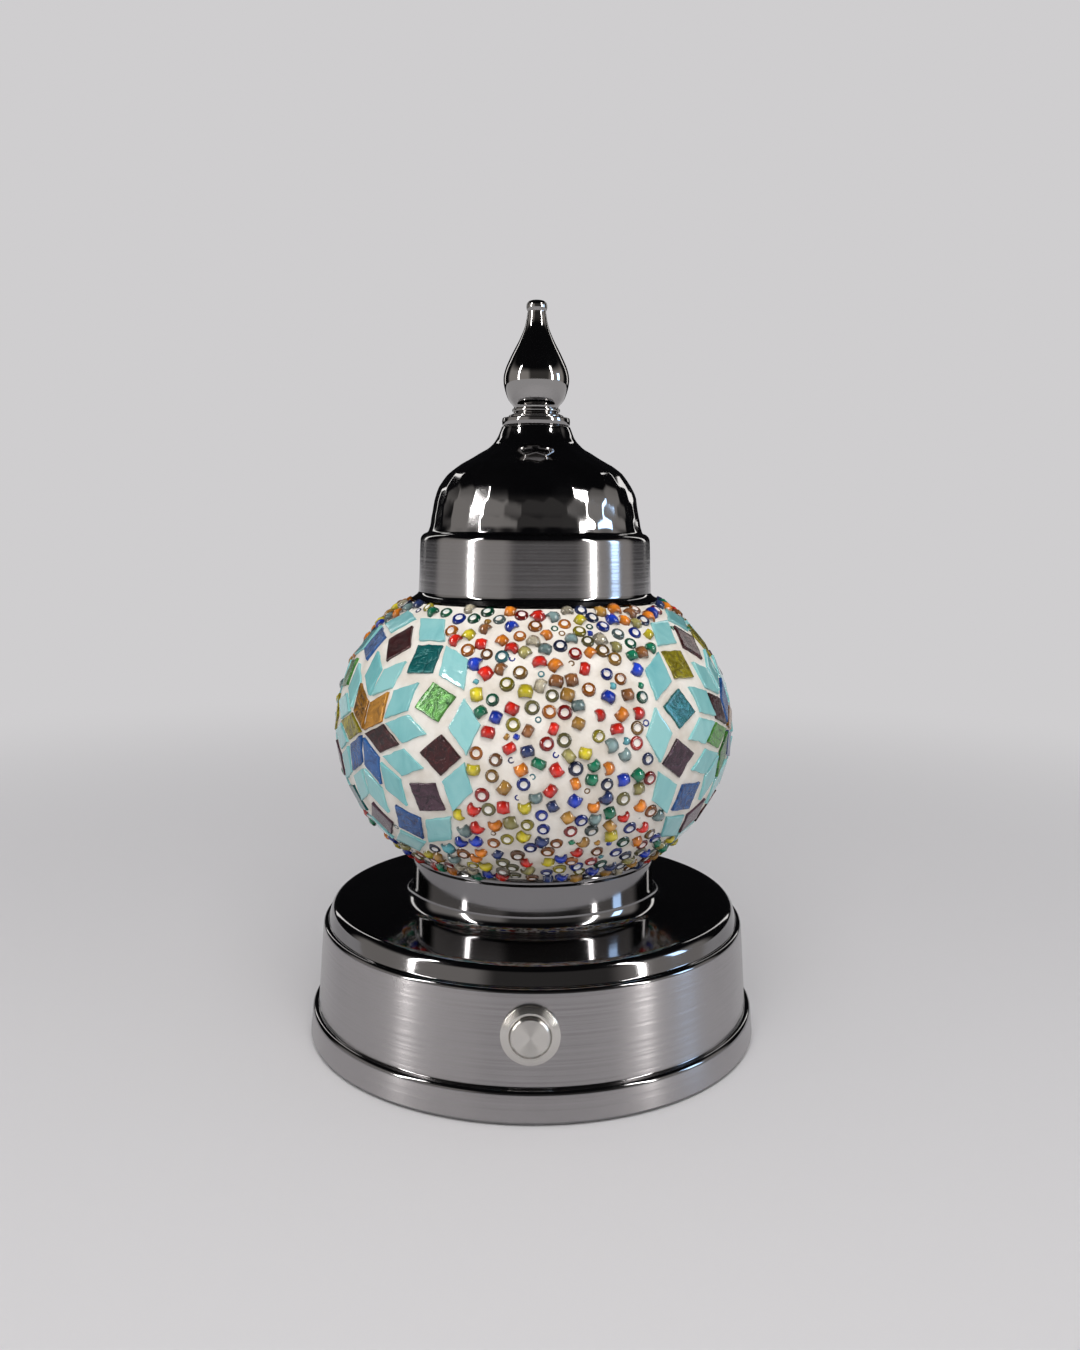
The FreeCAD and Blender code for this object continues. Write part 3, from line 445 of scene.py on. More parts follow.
plaster_finish, nodes, links, skin = new_finish("warm_plaster", (0.80, 0.755, 0.69), 0.9)
place = nodes.new("ShaderNodeTexCoord")
grain = nodes.new("ShaderNodeTexNoise")
grain.inputs["Scale"].default_value = 1500.0
grain.inputs["Detail"].default_value = 5.0
pits = nodes.new("ShaderNodeTexVoronoi")
pits.inputs["Scale"].default_value = 420.0
patch = nodes.new("ShaderNodeTexNoise")
patch.inputs["Scale"].default_value = 130.0
patch.inputs["Detail"].default_value = 6.0
tone = nodes.new("ShaderNodeValToRGB")
tone.color_ramp.elements[0].position = 0.30
tone.color_ramp.elements[0].color = (0.66, 0.60, 0.52, 1)
tone.color_ramp.elements[1].position = 0.62
tone.color_ramp.elements[1].color = (0.83, 0.79, 0.73, 1)
grain_bump = nodes.new("ShaderNodeBump")
grain_bump.inputs["Strength"].default_value = 0.6
grain_bump.inputs["Distance"].default_value = 0.00008
pit_bump = nodes.new("ShaderNodeBump")
pit_bump.inputs["Strength"].default_value = 0.25
pit_bump.inputs["Distance"].default_value = 0.0003
for texture in (grain, pits, patch):
    links.new(place.outputs["Object"], texture.inputs["Vector"])
links.new(patch.outputs["Fac"], tone.inputs["Fac"])
links.new(tone.outputs["Color"], skin.inputs["Base Color"])
links.new(pits.outputs["Distance"], pit_bump.inputs["Height"])
links.new(grain.outputs["Fac"], grain_bump.inputs["Height"])
links.new(pit_bump.outputs[0], grain_bump.inputs["Normal"])
links.new(grain_bump.outputs[0], skin.inputs["Normal"])
plaster.data.materials.append(plaster_finish)
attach(plaster, "lamp")
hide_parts("globe_grout")


# ---- Globe: cut glass tiles --------------------------------------------------------------------------------
# Three medallions are laid round the globe. Each has a star of six rhombs, twelve turquoise rhombs round
# it, a ring of squares, and turquoise rhombs in the notches. All are snapped by hand from 2 mm glass sheet.
BEARINGS = (-51.5, 68.5, 188.5)
STAR_TURN = (-4.0, 10.0, 3.0)
LIFT = 3.5
SIDE = 10.9
JOINT = 1.1
TILE = 2.1
STAR_COLOURS = (
    ("maroon", "amber", "amber", "olive", "blue", "blue"),
    ("amber", "blue", "maroon", "green", "green", "blue"),
    ("blue", "olive", "green", "maroon", "amber", "teal"),
)
SQUARE_COLOURS = [row.split() for row in (
    "maroon green teal maroon blue green olive violet teal violet blue violet",
    "teal violet olive maroon olive teal violet blue violet maroon green amber",
    "olive violet blue teal maroon amber green maroon blue violet teal maroon",
)]

bpy.ops.object.select_all(action="DESELECT")
bpy.ops.mesh.primitive_grid_add(x_subdivisions=7, y_subdivisions=7, size=2.0, location=(0, 0, 0))
pattern_tile = bpy.context.object
bpy.ops.object.mode_set(mode="EDIT")
bpy.ops.mesh.select_all(action="SELECT")
bpy.ops.mesh.extrude_region_move(TRANSFORM_OT_translate={"value": (0, 0, 1.0)})
bpy.ops.mesh.select_all(action="SELECT")
bpy.ops.mesh.normals_make_consistent(inside=False)
bpy.ops.mesh.select_all(action="DESELECT")
bpy.ops.object.mode_set(mode="OBJECT")
for edge in pattern_tile.data.edges:
    ends = [pattern_tile.data.vertices[v].co for v in edge.vertices]
    on_rim = any(all(abs(abs(e[axis]) - 1) < 0.01 for e in ends) for axis in (0, 1))
    edge.select = on_rim and all(e.z > 0.99 for e in ends)
bpy.ops.object.mode_set(mode="EDIT")
bpy.ops.mesh.select_mode(type="EDGE")
bpy.ops.mesh.bevel(offset=0.07, segments=2, affect="EDGES")
bpy.ops.mesh.select_mode(type="VERT")
bpy.ops.object.mode_set(mode="OBJECT")


def on_globe(medallion, u, v, grow):
    """The point of the globe over a place in a medallion's flat plan."""
    v = v * 1.15
    reach, way = math.hypot(u, v) / 67.0, math.atan2(v, u)
    lon, lat = math.radians(BEARINGS[medallion]), LIFT / GLASS_HALF
    out_way = Vector((math.cos(lat) * math.sin(lon), -math.cos(lat) * math.cos(lon), math.sin(lat)))
    east = Vector((math.cos(lon), math.sin(lon), 0))
    north = out_way.cross(east)
    q = out_way * math.cos(reach) + (east * math.cos(way) + north * math.sin(way)) * math.sin(reach)
    a, c = GLASS_RADIUS + grow, GLASS_HALF + grow
    return Vector((a * q.x, a * q.y, GLOBE_CENTRE + c * q.z))


def shrink(corners, width):
    """A four-cornered outline with every side moved in by half a joint."""
    inset = []
    for i in range(4):
        here, before, after = Vector(corners[i]), Vector(corners[i - 1]), Vector(corners[(i + 1) % 4])
        first, second = (before - here).normalized(), (after - here).normalized()
        half = first.angle(second) / 2
        inset.append(here + (first + second).normalized() * (width / 2 / math.sin(half)))
    return inset


def polar(radius, degrees):
    return Vector((radius * math.cos(math.radians(degrees)), radius * math.sin(math.radians(degrees))))


def diamond(radius, degrees, along, across):
    """A four-cornered outline at a polar place: half diagonals along and across the radius."""
    c, out_way, side = polar(radius, degrees), polar(1, degrees), polar(1, degrees + 90)
    return [c - out_way * along, c + side * across, c + out_way * along, c - side * across]


hand = random.Random(11)
chips = random.Random(5)
laid_tiles = {}
tile_outlines = []


def lay_tile(group, medallion, corners):
    """Sets one tile down over its outline, a little askew, with edges that wander as snapped glass does."""
    turn_by = math.radians(hand.uniform(-3.5, 3.5))
    shift = Vector((hand.uniform(-0.3, 0.3), hand.uniform(-0.3, 0.3)))
    mid = sum(corners, Vector((0, 0))) / 4
    spun = Matrix.Rotation(turn_by, 2)
    laid = [mid + shift + spun @ (c - mid) for c in corners]
    middle = on_globe(medallion, *(mid + shift), 0.0)
    normal = globe_normal(middle)
    foot = middle + normal * 0.06
    quad = []
    for place in laid:
        point = on_globe(medallion, *place, 0.0)
        quad.append(point - normal * (point - foot).dot(normal))
    if (quad[1] - quad[0]).cross(quad[2] - quad[1]).dot(normal) < 0:
        quad.reverse()
    tile_outlines.append((middle, normal, quad))
    mesh = pattern_tile.data.copy()
    seed = Vector((chips.uniform(0, 90), chips.uniform(0, 90), chips.uniform(0, 90)))
    tip = [chips.uniform(-0.12, 0.12) for _ in range(2)]
    for corner in mesh.vertices:
        s, t, w = (corner.co.x + 1) / 2, (corner.co.y + 1) / 2, corner.co.z
        low_side, high_side = quad[0].lerp(quad[1], s), quad[3].lerp(quad[2], s)
        place = low_side.lerp(high_side, t)
        wander = Vector([noise.noise(place * 0.42 + seed * (1 + k)) for k in range(3)]) * 0.34
        wander -= normal * wander.dot(normal)
        dome = 0.05 * noise.noise(place * 0.5 + seed) + tip[0] * (s - 0.5) + tip[1] * (t - 0.5)
        corner.co = (place + wander + normal * (TILE + dome) * w) * MM
    shade = mesh.color_attributes.new("shade", "FLOAT_COLOR", "POINT")
    values = (chips.random(), chips.random(), chips.random(), 1.0)
    for k in range(len(mesh.vertices)):
        shade.data[k].color = values
    made = bpy.data.objects.new("tile", mesh)
    bpy.context.collection.objects.link(made)
    laid_tiles.setdefault(group, []).append(made)


for m in range(3):
    start = STAR_TURN[m]
    for i in range(6):
        way = start + 60 * i
        long_half = SIDE * math.sqrt(3) / 2
        lay_tile(STAR_COLOURS[m][i], m, shrink(diamond(long_half, way, long_half, SIDE / 2), JOINT))
        notch = polar(SIDE, way + 30)
        for lean in (0, 60):
            one, two = polar(SIDE, way - 30 + lean), polar(SIDE, way + 30 + lean)
            rhomb = [notch, notch + one, notch + one + two, notch + two]
            lay_tile("turquoise_inner", m, shrink(rhomb, JOINT))
    for i in range(12):
        way = start + 30 * i
        radius = (2.98 if i % 2 == 0 else 2.86) * SIDE
        lay_tile(SQUARE_COLOURS[m][i], m, shrink(diamond(radius, way, 7.3, 7.3), 0.3))
        lay_tile("turquoise_outer", m, shrink(diamond(3.64 * SIDE, way + 15, 5.3, 9.9), 0.3))
bpy.data.objects.remove(pattern_tile)


def join_up(pieces, name):
    """Joins copies into one piece."""
    bpy.ops.object.select_all(action="DESELECT")
    for made in pieces:
        made.select_set(True)
    bpy.context.view_layer.objects.active = pieces[0]
    if len(pieces) > 1:
        bpy.ops.object.join()
    pieces[0].name = name
    pieces[0].data.name = name
    return pieces[0]


def opaque_glass(name, pale, deep):
    """Milky sheet glass: faint streaks, a shade that differs from tile to tile, and a fire-polished face."""
    made, nodes, links, shader = new_finish(name, pale, 0.10)
    shader.inputs["IOR"].default_value = 1.52
    shader.inputs["Coat Weight"].default_value = 0.35
    shader.inputs["Coat Roughness"].default_value = 0.04
    place = nodes.new("ShaderNodeTexCoord")
    stretch = nodes.new("ShaderNodeMapping")
    stretch.inputs["Scale"].default_value = (1.0, 1.0, 0.35)
    stretch.inputs["Rotation"].default_value = (0.3, 0.5, 0.2)
    streak = nodes.new("ShaderNodeTexNoise")
    streak.inputs["Scale"].default_value = 170.0
    streak.inputs["Detail"].default_value = 4.0
    streak.inputs["Distortion"].default_value = 1.2
    batch = nodes.new("ShaderNodeAttribute")
    batch.attribute_name = "shade"
    split = nodes.new("ShaderNodeSeparateColor")
    add = nodes.new("ShaderNodeMath")
    add.operation = "MULTIPLY_ADD"
    add.inputs[1].default_value = 0.55
    tone = nodes.new("ShaderNodeValToRGB")
    tone.color_ramp.elements[0].position = 0.25
    tone.color_ramp.elements[0].color = (*deep, 1)
    tone.color_ramp.elements[1].position = 1.0
    tone.color_ramp.elements[1].color = (*pale, 1)
    swell = nodes.new("ShaderNodeTexNoise")
    swell.inputs["Scale"].default_value = 260.0
    bump = nodes.new("ShaderNodeBump")
    bump.inputs["Strength"].default_value = 0.35
    bump.inputs["Distance"].default_value = 0.0004
    links.new(place.outputs["Object"], stretch.inputs["Vector"])
    links.new(stretch.outputs[0], streak.inputs["Vector"])
    links.new(place.outputs["Object"], swell.inputs["Vector"])
    links.new(batch.outputs["Color"], split.inputs[0])
    links.new(split.outputs["Red"], add.inputs[0])
    links.new(streak.outputs["Fac"], add.inputs[2])
    links.new(add.outputs[0], tone.inputs["Fac"])
    links.new(tone.outputs["Color"], shader.inputs["Base Color"])
    links.new(swell.outputs["Fac"], bump.inputs["Height"])
    links.new(bump.outputs[0], shader.inputs["Normal"])
    return made


def foil_glass(name, bright, deep, flecks):
    """Clear coloured glass over crumpled foil: a dark body with bright facets and pinpoint flecks."""
    made, nodes, links, shader = new_finish(name, deep, 0.24, 0.30)
    shader.inputs["Coat Weight"].default_value = 0.25
    shader.inputs["Coat Roughness"].default_value = 0.05
    shader.inputs["Coat IOR"].default_value = 1.52
    place = nodes.new("ShaderNodeTexCoord")
    warp = nodes.new("ShaderNodeTexNoise")
    warp.inputs["Scale"].default_value = 220.0
    warp.inputs["Detail"].default_value = 5.0
    warp.inputs["Distortion"].default_value = 2.5
    batch = nodes.new("ShaderNodeAttribute")
    batch.attribute_name = "shade"
    split = nodes.new("ShaderNodeSeparateColor")
    add = nodes.new("ShaderNodeMath")
    add.operation = "MULTIPLY_ADD"
    add.inputs[1].default_value = 0.25
    tone = nodes.new("ShaderNodeValToRGB")
    tone.color_ramp.elements[0].position = 0.42
    tone.color_ramp.elements[0].color = (*deep, 1)
    tone.color_ramp.elements[1].position = 0.80
    tone.color_ramp.elements[1].color = (*bright, 1)
    fleck = nodes.new("ShaderNodeTexVoronoi")
    fleck.inputs["Scale"].default_value = 650.0
    spark = nodes.new("ShaderNodeMapRange")
    spark.inputs["From Min"].default_value = 0.13
    spark.inputs["From Max"].default_value = 0.05
    spark.inputs["To Max"].default_value = flecks
    mixed = nodes.new("ShaderNodeMix")
    mixed.data_type = "RGBA"
    mixed.inputs[7].default_value = (0.9, 0.9, 0.9, 1)
    bump = nodes.new("ShaderNodeBump")
    bump.inputs["Strength"].default_value = 0.7
    bump.inputs["Distance"].default_value = 0.0005
    for texture in (warp, fleck):
        links.new(place.outputs["Object"], texture.inputs["Vector"])
    links.new(batch.outputs["Color"], split.inputs[0])
    links.new(split.outputs["Green"], add.inputs[0])
    links.new(warp.outputs["Fac"], add.inputs[2])
    links.new(add.outputs[0], tone.inputs["Fac"])
    links.new(fleck.outputs["Distance"], spark.inputs["Value"])
    links.new(spark.outputs["Result"], mixed.inputs[0])
    links.new(tone.outputs["Color"], mixed.inputs[6])
    links.new(mixed.outputs[2], shader.inputs["Base Color"])
    links.new(warp.outputs["Fac"], bump.inputs["Height"])
    links.new(bump.outputs[0], shader.inputs["Normal"])
    return made


tile_finishes = {
    "turquoise_inner": opaque_glass("turquoise_glass", (0.27, 0.58, 0.58), (0.13, 0.42, 0.44)),
    "turquoise_outer": opaque_glass("pale_turquoise_glass", (0.29, 0.60, 0.60), (0.15, 0.44, 0.47)),
    "maroon": foil_glass("maroon_glass", (0.075, 0.008, 0.010), (0.014, 0.003, 0.004), 0.06),
    "amber": foil_glass("amber_glass", (0.52, 0.23, 0.02), (0.12, 0.05, 0.006), 0.25),
    "olive": foil_glass("olive_glass", (0.46, 0.40, 0.015), (0.16, 0.13, 0.005), 0.15),
    "blue": foil_glass("blue_glass", (0.03, 0.13, 0.38), (0.004, 0.025, 0.12), 0.35),
    "green": foil_glass("green_glass", (0.08, 0.28, 0.04), (0.003, 0.04, 0.012), 0.5),
    "teal": foil_glass("teal_glass", (0.004, 0.13, 0.13), (0.001, 0.055, 0.06), 0.1),
    "violet": foil_glass("violet_glass", (0.10, 0.045, 0.07), (0.030, 0.012, 0.022), 0.12),
}
for group, pieces in laid_tiles.items():
    tiles = join_up(pieces, "tile_set_" + group)
    smooth(tiles, 40)
    tiles.data.materials.append(tile_finishes[group])
    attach(tiles, "lamp")
    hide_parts("tiles_" + group)


# ---- Globe: seed beads -----------------------------------------------------------------------------------
# Loose 5 mm seed beads are scattered into the wet glue round the medallions, up to the cap and the collar.
# About half stand hole outward; the rest lie on their sides, half sunk in the plaster.
bpy.ops.object.select_all(action="DESELECT")
bpy.ops.mesh.primitive_torus_add(
    major_segments=14, minor_segments=6, major_radius=1.58, minor_radius=0.86, location=(0, 0, 0)
)
pattern_bead = bpy.context.object
bpy.ops.object.mode_set(mode="EDIT")
bpy.ops.mesh.select_all(action="SELECT")
bpy.ops.transform.resize(value=(1.0, 1.0, 2.3))
bpy.ops.object.mode_set(mode="OBJECT")
smooth(pattern_bead, 80)
lining = [
    f.index for f in pattern_bead.data.polygons
    if f.normal.dot(Vector((f.center.x, f.center.y, 0)).normalized()) < -0.5
]

BEAD_COLOURS = {
    "red": ((0.66, 0.022, 0.012), 0.25, 17),
    "orange": ((0.82, 0.24, 0.02), 0.25, 18),
    "amber": ((0.50, 0.26, 0.05), 0.25, 7),
    "yellow": ((0.72, 0.60, 0.03), 0.3, 12),
    "olive": ((0.38, 0.34, 0.12), 0.35, 6),
    "cobalt": ((0.015, 0.05, 0.48), 0.25, 12),
    "navy": ((0.03, 0.05, 0.16), 0.25, 8),
    "green": ((0.012, 0.20, 0.10), 0.25, 6),
    "clear": ((0.62, 0.56, 0.42), 0.6, 5),
    "grey_teal": ((0.24, 0.35, 0.35), 0.4, 5),
    "turquoise": ((0.13, 0.45, 0.52), 0.3, 4),
    "brown": ((0.30, 0.12, 0.04), 0.25, 4),
}
colour_names = [name for name, spec in BEAD_COLOURS.items() for _ in range(spec[2])]
scatter = random.Random(23)


def gap_to_tiles(spot, nearby):
    """How far a point of the globe is from the nearest tile's edge, negative inside it."""
    least = 99.0
    for middle, normal, quad in nearby:
        inside_by = -99.0
        for k in range(4):
            a, b = quad[k], quad[(k + 1) % 4]
            outward = (b - a).cross(normal).normalized()
            inside_by = max(inside_by, (spot - a).dot(outward))
        least = min(least, inside_by)
    return least


settled = []
cells = {}
CELL = 5.0


def room_for(spot, radius):
    """True if a bead of this radius clears the beads already down."""
    key = tuple(int(c // CELL) for c in spot)
    for dx in (-1, 0, 1):
        for dy in (-1, 0, 1):
            for dz in (-1, 0, 1):
                for other, r in cells.get((key[0] + dx, key[1] + dy, key[2] + dz), ()):
                    if (other - spot).length < r + radius:
                        return False
    return True


MEDALLION_EDGE = 3.72 * SIDE


def in_medallion(spot):
    """True inside the ring of a medallion's outer tiles."""
    ball = Vector((spot.x / GLASS_RADIUS, spot.y / GLASS_RADIUS, (spot.z - GLOBE_CENTRE) / GLASS_HALF))
    ball.normalize()
    lat = LIFT / GLASS_HALF
    for bearing in BEARINGS:
        lon = math.radians(bearing)
        middle = Vector((math.cos(lat) * math.sin(lon), -math.cos(lat) * math.cos(lon), math.sin(lat)))
        if middle.angle(ball) * 67.0 < MEDALLION_EDGE - 3.0 * abs(ball.z - middle.z):
            return True
    return False


for wanted, tries, near in ((2.14, 90000, 1.9), (1.25, 5000, 1.15)):
    for _ in range(tries):
        height = scatter.uniform(-1, 1)
        bearing = scatter.uniform(-math.pi, math.pi)
        lat = math.asin(height)
        if not low + 0.02 < lat < high - 0.015:
            continue
        crowd = 0.92 if lat < -0.62 or lat > 0.55 else 1.0
        radius = wanted * crowd * scatter.uniform(0.97, 1.12)
        spot = globe_point(lat, bearing, COAT)
        nearby = [t for t in tile_outlines if (t[0] - spot).length < 14.5]
        if not room_for(spot, radius) or in_medallion(spot) or gap_to_tiles(spot, nearby) < near:
            continue
        settled.append((spot, wanted))
        cells.setdefault(tuple(int(c // CELL) for c in spot), []).append((spot, radius))

laid_beads = {}
for spot, wanted in settled:
    small = wanted < 2
    colour = scatter.choice(("turquoise", "turquoise", "green", "cobalt", "amber") if small else colour_names)
    size = scatter.uniform(0.46, 0.56) if small else scatter.uniform(0.88, 1.04)
    standing = scatter.random() < 0.45
    normal = globe_normal(spot)
    side = normal.orthogonal().normalized()
    side.rotate(Matrix.Rotation(scatter.uniform(0, 2 * math.pi), 3, normal))
    axis = normal if standing else side
    axis = (axis + Vector([scatter.uniform(-0.16, 0.16) for _ in range(3)])).normalized()
    pose = axis.to_track_quat("Z", "Y").to_matrix().to_4x4()
    sunk = -0.55 if standing else -0.5
    squat = scatter.uniform(0.85, 1.12)
    shape = Matrix.Diagonal((size, size, size * squat * (0.72 if standing else 1.0), 1))
    mesh = pattern_bead.data.copy()
    mesh.transform(Matrix.Scale(MM, 4) @ Matrix.Translation(spot + normal * sunk) @ pose @ shape)
    # Painted light and shade: standing beads are painted darker, and each bead is painted lighter where it
    # faces outward and darker towards its edges.
    depth = scatter.uniform(0.28, 0.60) if standing else scatter.uniform(1.0, 1.35)
    shade = mesh.color_attributes.new("shade", "FLOAT_COLOR", "POINT")
    for corner, painted_light_value in zip(mesh.vertices, shade.data):
        facing = max(0.0, corner.normal.dot(normal))
        painted_glow = depth * (0.30 + 0.85 * facing**1.6)
        painted_light_value.color = (painted_glow, painted_glow, painted_glow, 1.0)
    made = bpy.data.objects.new("bead", mesh)
    bpy.context.collection.objects.link(made)
    laid_beads.setdefault(colour, []).append(made)
bpy.data.objects.remove(pattern_bead)


def bead_glass(name, colour, clarity):
    """Pressed coloured glass, clear enough to show the lining of the hole; its colour is multiplied by
    painted light and shade from the beads' shade attribute.
    """
    made, nodes, links, shader = new_finish(name, colour, 0.07)
    shader.inputs["IOR"].default_value = 1.5
    shader.inputs["Transmission Weight"].default_value = clarity
    shader.inputs["Coat Weight"].default_value = 0.6
    painted_light_multiply = nodes.new("ShaderNodeMix")
    painted_light_multiply.data_type = "RGBA"
    painted_light_multiply.blend_type = "MULTIPLY"
    painted_light_multiply.inputs[0].default_value = 1.0
    painted_light_attribute = nodes.new("ShaderNodeAttribute")
    painted_light_attribute.attribute_name = "shade"
    place = nodes.new("ShaderNodeTexCoord")
    batch = nodes.new("ShaderNodeTexNoise")
    batch.inputs["Scale"].default_value = 160.0
    tone = nodes.new("ShaderNodeValToRGB")
    tone.color_ramp.elements[0].position = 0.35
    tone.color_ramp.elements[0].color = (*[c * 0.65 for c in colour], 1)
    tone.color_ramp.elements[1].position = 0.65
    tone.color_ramp.elements[1].color = (*[min(1, c * 1.25) for c in colour], 1)
    links.new(place.outputs["Object"], batch.inputs["Vector"])
    links.new(batch.outputs["Fac"], tone.inputs["Fac"])
    links.new(tone.outputs["Color"], painted_light_multiply.inputs[6])
    links.new(painted_light_attribute.outputs["Color"], painted_light_multiply.inputs[7])
    links.new(painted_light_multiply.outputs[2], shader.inputs["Base Color"])
    return made


def bead_lining(name, colour):
    """The hole, filled by the plaster that is wiped over; its faint tint of the bead's colour is painted
    light coming through the glass round it.
    """
    made, nodes, links, shader = new_finish(name, [0.66 + 0.14 * c for c in colour], 0.6)
    place = nodes.new("ShaderNodeTexCoord")
    grain = nodes.new("ShaderNodeTexNoise")
    grain.inputs["Scale"].default_value = 1500.0
    bump = nodes.new("ShaderNodeBump")
    bump.inputs["Distance"].default_value = 0.0001
    links.new(place.outputs["Object"], grain.inputs["Vector"])
    links.new(grain.outputs["Fac"], bump.inputs["Height"])
    links.new(bump.outputs[0], shader.inputs["Normal"])
    return made


for colour, pieces in laid_beads.items():
    beads = join_up(pieces, "beads_" + colour)
    spec = BEAD_COLOURS[colour]
    beads.data.materials.append(bead_glass("bead_" + colour, spec[0], spec[1]))
    beads.data.materials.append(bead_lining("lining_" + colour, spec[0]))
    faces_each = len(beads.data.polygons) // len(pieces)
    for k in range(len(pieces)):
        for index in lining:
            beads.data.polygons[k * faces_each + index].material_index = 1
    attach(beads, "lamp")


# ---- Cap --------------------------------------------------------------------------------------------------
# Thin steel again, spun to a plain band with a flared lip and a dome, then hammered all over the dome from
# its shoulder upwards in rows of shallow flats, and plated black.
cap_outside = [
    (42.2, 150.9), (39.8, 152.6, 1.8), (38.9, 172.3, 2.6), (36.4, 173.2, 0.9), (33.0, 191.6, 18.0),
    (14.2, 202.5, 11.5), (11.4, 208.8, 1.2), (3.3, 208.8),
]


def resampled(points, step):
    """The same path with points no further apart than a step."""
    fine_path = [points[0]]
    for here, there in zip(points, points[1:]):
        parts = max(1, math.ceil((there - here).length / step))
        fine_path += [here.lerp(there, k / parts) for k in range(1, parts + 1)]
    return fine_path


dome_path = resampled(rounded(cap_outside, 10), 0.9)
back_path = rounded([
    (3.3, 208.0), (10.8, 208.0, 0.5), (13.6, 202.0, 12.0), (32.3, 191.0, 17.0), (35.6, 172.8, 0.6),
    (38.1, 171.6, 1.8), (39.0, 152.3, 1.0), (41.8, 150.3),
], 6)
cap = turn("hammered_cap", dome_path + back_path, 400)
smooth(cap, 40)

blows = []
strike = random.Random(3)
height, row = 175.6, 0
while height < 207.0:
    reach_out = next(p.x for p in dome_path if p.y >= height)
    count = max(9, round(2 * math.pi * reach_out / 6.4))
    for k in range(count):
        angle = 2 * math.pi * (k + 0.5 * (row % 2) + strike.uniform(-0.16, 0.16)) / count
        z = height + strike.uniform(-0.5, 0.5)
        middle = Vector((reach_out * math.cos(angle), reach_out * math.sin(angle), z))
        blows.append((middle, strike.uniform(0.8, 1.15)))
    slope = next(
        (q.x - p.x) / max(0.01, q.y - p.y)
        for p, q in zip(dome_path, dome_path[1:])
        if q.y >= height + 0.01
    )
    height += 5.0 / math.hypot(1, slope)
    row += 1
by_sector = {}
for blow in blows:
    by_sector.setdefault(int(math.degrees(math.atan2(blow[0].y, blow[0].x)) // 12) % 30, []).append(blow)
for corner in cap.data.vertices:
    spot = corner.co / MM
    if spot.z < 173.4 or math.hypot(spot.x, spot.y) < 11.6:
        continue
    sector = int(math.degrees(math.atan2(spot.y, spot.x)) // 12) % 30
    sink = 0.0
    span = 4.6
    for near_sector in (sector - 1, sector, sector + 1):
        for middle, force in by_sector.get(near_sector % 30, ()):
            away = (spot - middle).length / span
            if away < 1:
                sink = max(sink, force * (1 - away * away))
    fade_in = min(1.0, (spot.z - 173.4) / 2.0) * min(1.0, max(0.0, (208.0 - spot.z) / 6.0) + 0.25)
    inward = Vector((spot.x, spot.y, 0)).normalized() * -0.75 + Vector((0, 0, -0.45))
    corner.co = (spot + inward * 0.42 * sink * fade_in) * MM
cap.data.update()
cap_nickel = spun_metal("black_nickel_cap", (0.30, 0.295, 0.30), 0.05, 0.000004, 0.0000005, 0.06)
band_nickel = spun_metal("black_nickel_band", (0.34, 0.33, 0.335), 0.16, 0.00003, 0.000003, 0.05, smear=0.85)
cap.data.materials.append(cap_nickel)
cap.data.materials.append(band_nickel)
for face in cap.data.polygons:
    face.material_index = 1 if 153.5 * MM < face.center.z < 171.0 * MM else 0
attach(cap, "lamp")
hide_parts("cap_shell")


# ---- Finial ----------------------------------------------------------------------------------------------
# A turned and plated steel spire screws down on the stud over a loose collar ring and clamps the cap.
collar_ring = turn("finial_collar", rounded([
    (3.4, 208.85), (11.3, 208.85, 0.45), (11.45, 210.2, 1.0), (11.3, 211.45, 0.45), (3.4, 211.45),
], 5), 160)
smooth(collar_ring, 35)
ring_nickel = spun_metal("black_nickel_ring", (0.34, 0.33, 0.33), 0.05, 0.000003, 0.0000004, 0.05)
collar_ring.data.materials.append(ring_nickel)
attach(collar_ring, "lamp")
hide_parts("finial_washer")


def smooth_curve(points, bits=6):
    """A flowing path through the points."""
    path_out = []
    padded = [2 * points[0] - points[1]] + points + [2 * points[-1] - points[-2]]
    for i in range(1, len(padded) - 2):
        p0, p1, p2, p3 = padded[i - 1:i + 3]
        for k in range(bits):
            t = k / bits
            path_out.append(
                0.5 * ((2 * p1) + (p2 - p0) * t + (2 * p0 - 5 * p1 + 4 * p2 - p3) * t * t
                       + (3 * p1 - p0 - 3 * p2 + p3) * t**3)
            )
    return path_out + [points[-1]]


spire = smooth_curve([Vector(p) for p in (
    (7.5, 215.2), (9.6, 218.0), (10.95, 222.8), (10.6, 226.8),
    (8.6, 231.6), (5.7, 237.2), (3.9, 241.6), (3.0, 246.3),
)])
foot = rounded([(4.5, 211.5), (9.3, 211.5, 0.3), (9.2, 212.2, 0.3), (7.4, 213.0, 0.5)], 5)
bead_turned = smooth_curve([Vector(p) for p in (
    (7.4, 213.1), (7.95, 213.5), (8.05, 213.95), (7.9, 214.4), (7.4, 214.75),
)], 3)
tip = smooth_curve([Vector(p) for p in (
    (3.0, 246.4), (3.35, 247.0), (3.45, 248.0), (3.2, 249.0), (2.5, 249.65), (1.4, 249.93), (0.0, 250.0),
)], 4)
finial = turn(
    "finial_spire", foot + bead_turned + spire + tip + [Vector((0.0, 228.0)), Vector((4.5, 226.0))], 160
)
smooth(finial, 38)
finial_nickel = spun_metal("black_nickel_finial", (0.36, 0.35, 0.345), 0.04, 0.000004, 0.0000004, 0.04)
finial.data.materials.append(finial_nickel)
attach(finial, "finial")
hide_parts("finial")


# ---- Parts inside ----------------------------------------------------------------------------------------
# The blown glass, the clamp under the cap, the lamp unit, the switch's own parts, the wires and the battery
# bay keep their turned, pressed and moulded shapes; each gets its finish.
def dress(finish, *names):
    for name in names:
        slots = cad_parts[name].material_slots
        for slot in slots:
            slot.material = finish


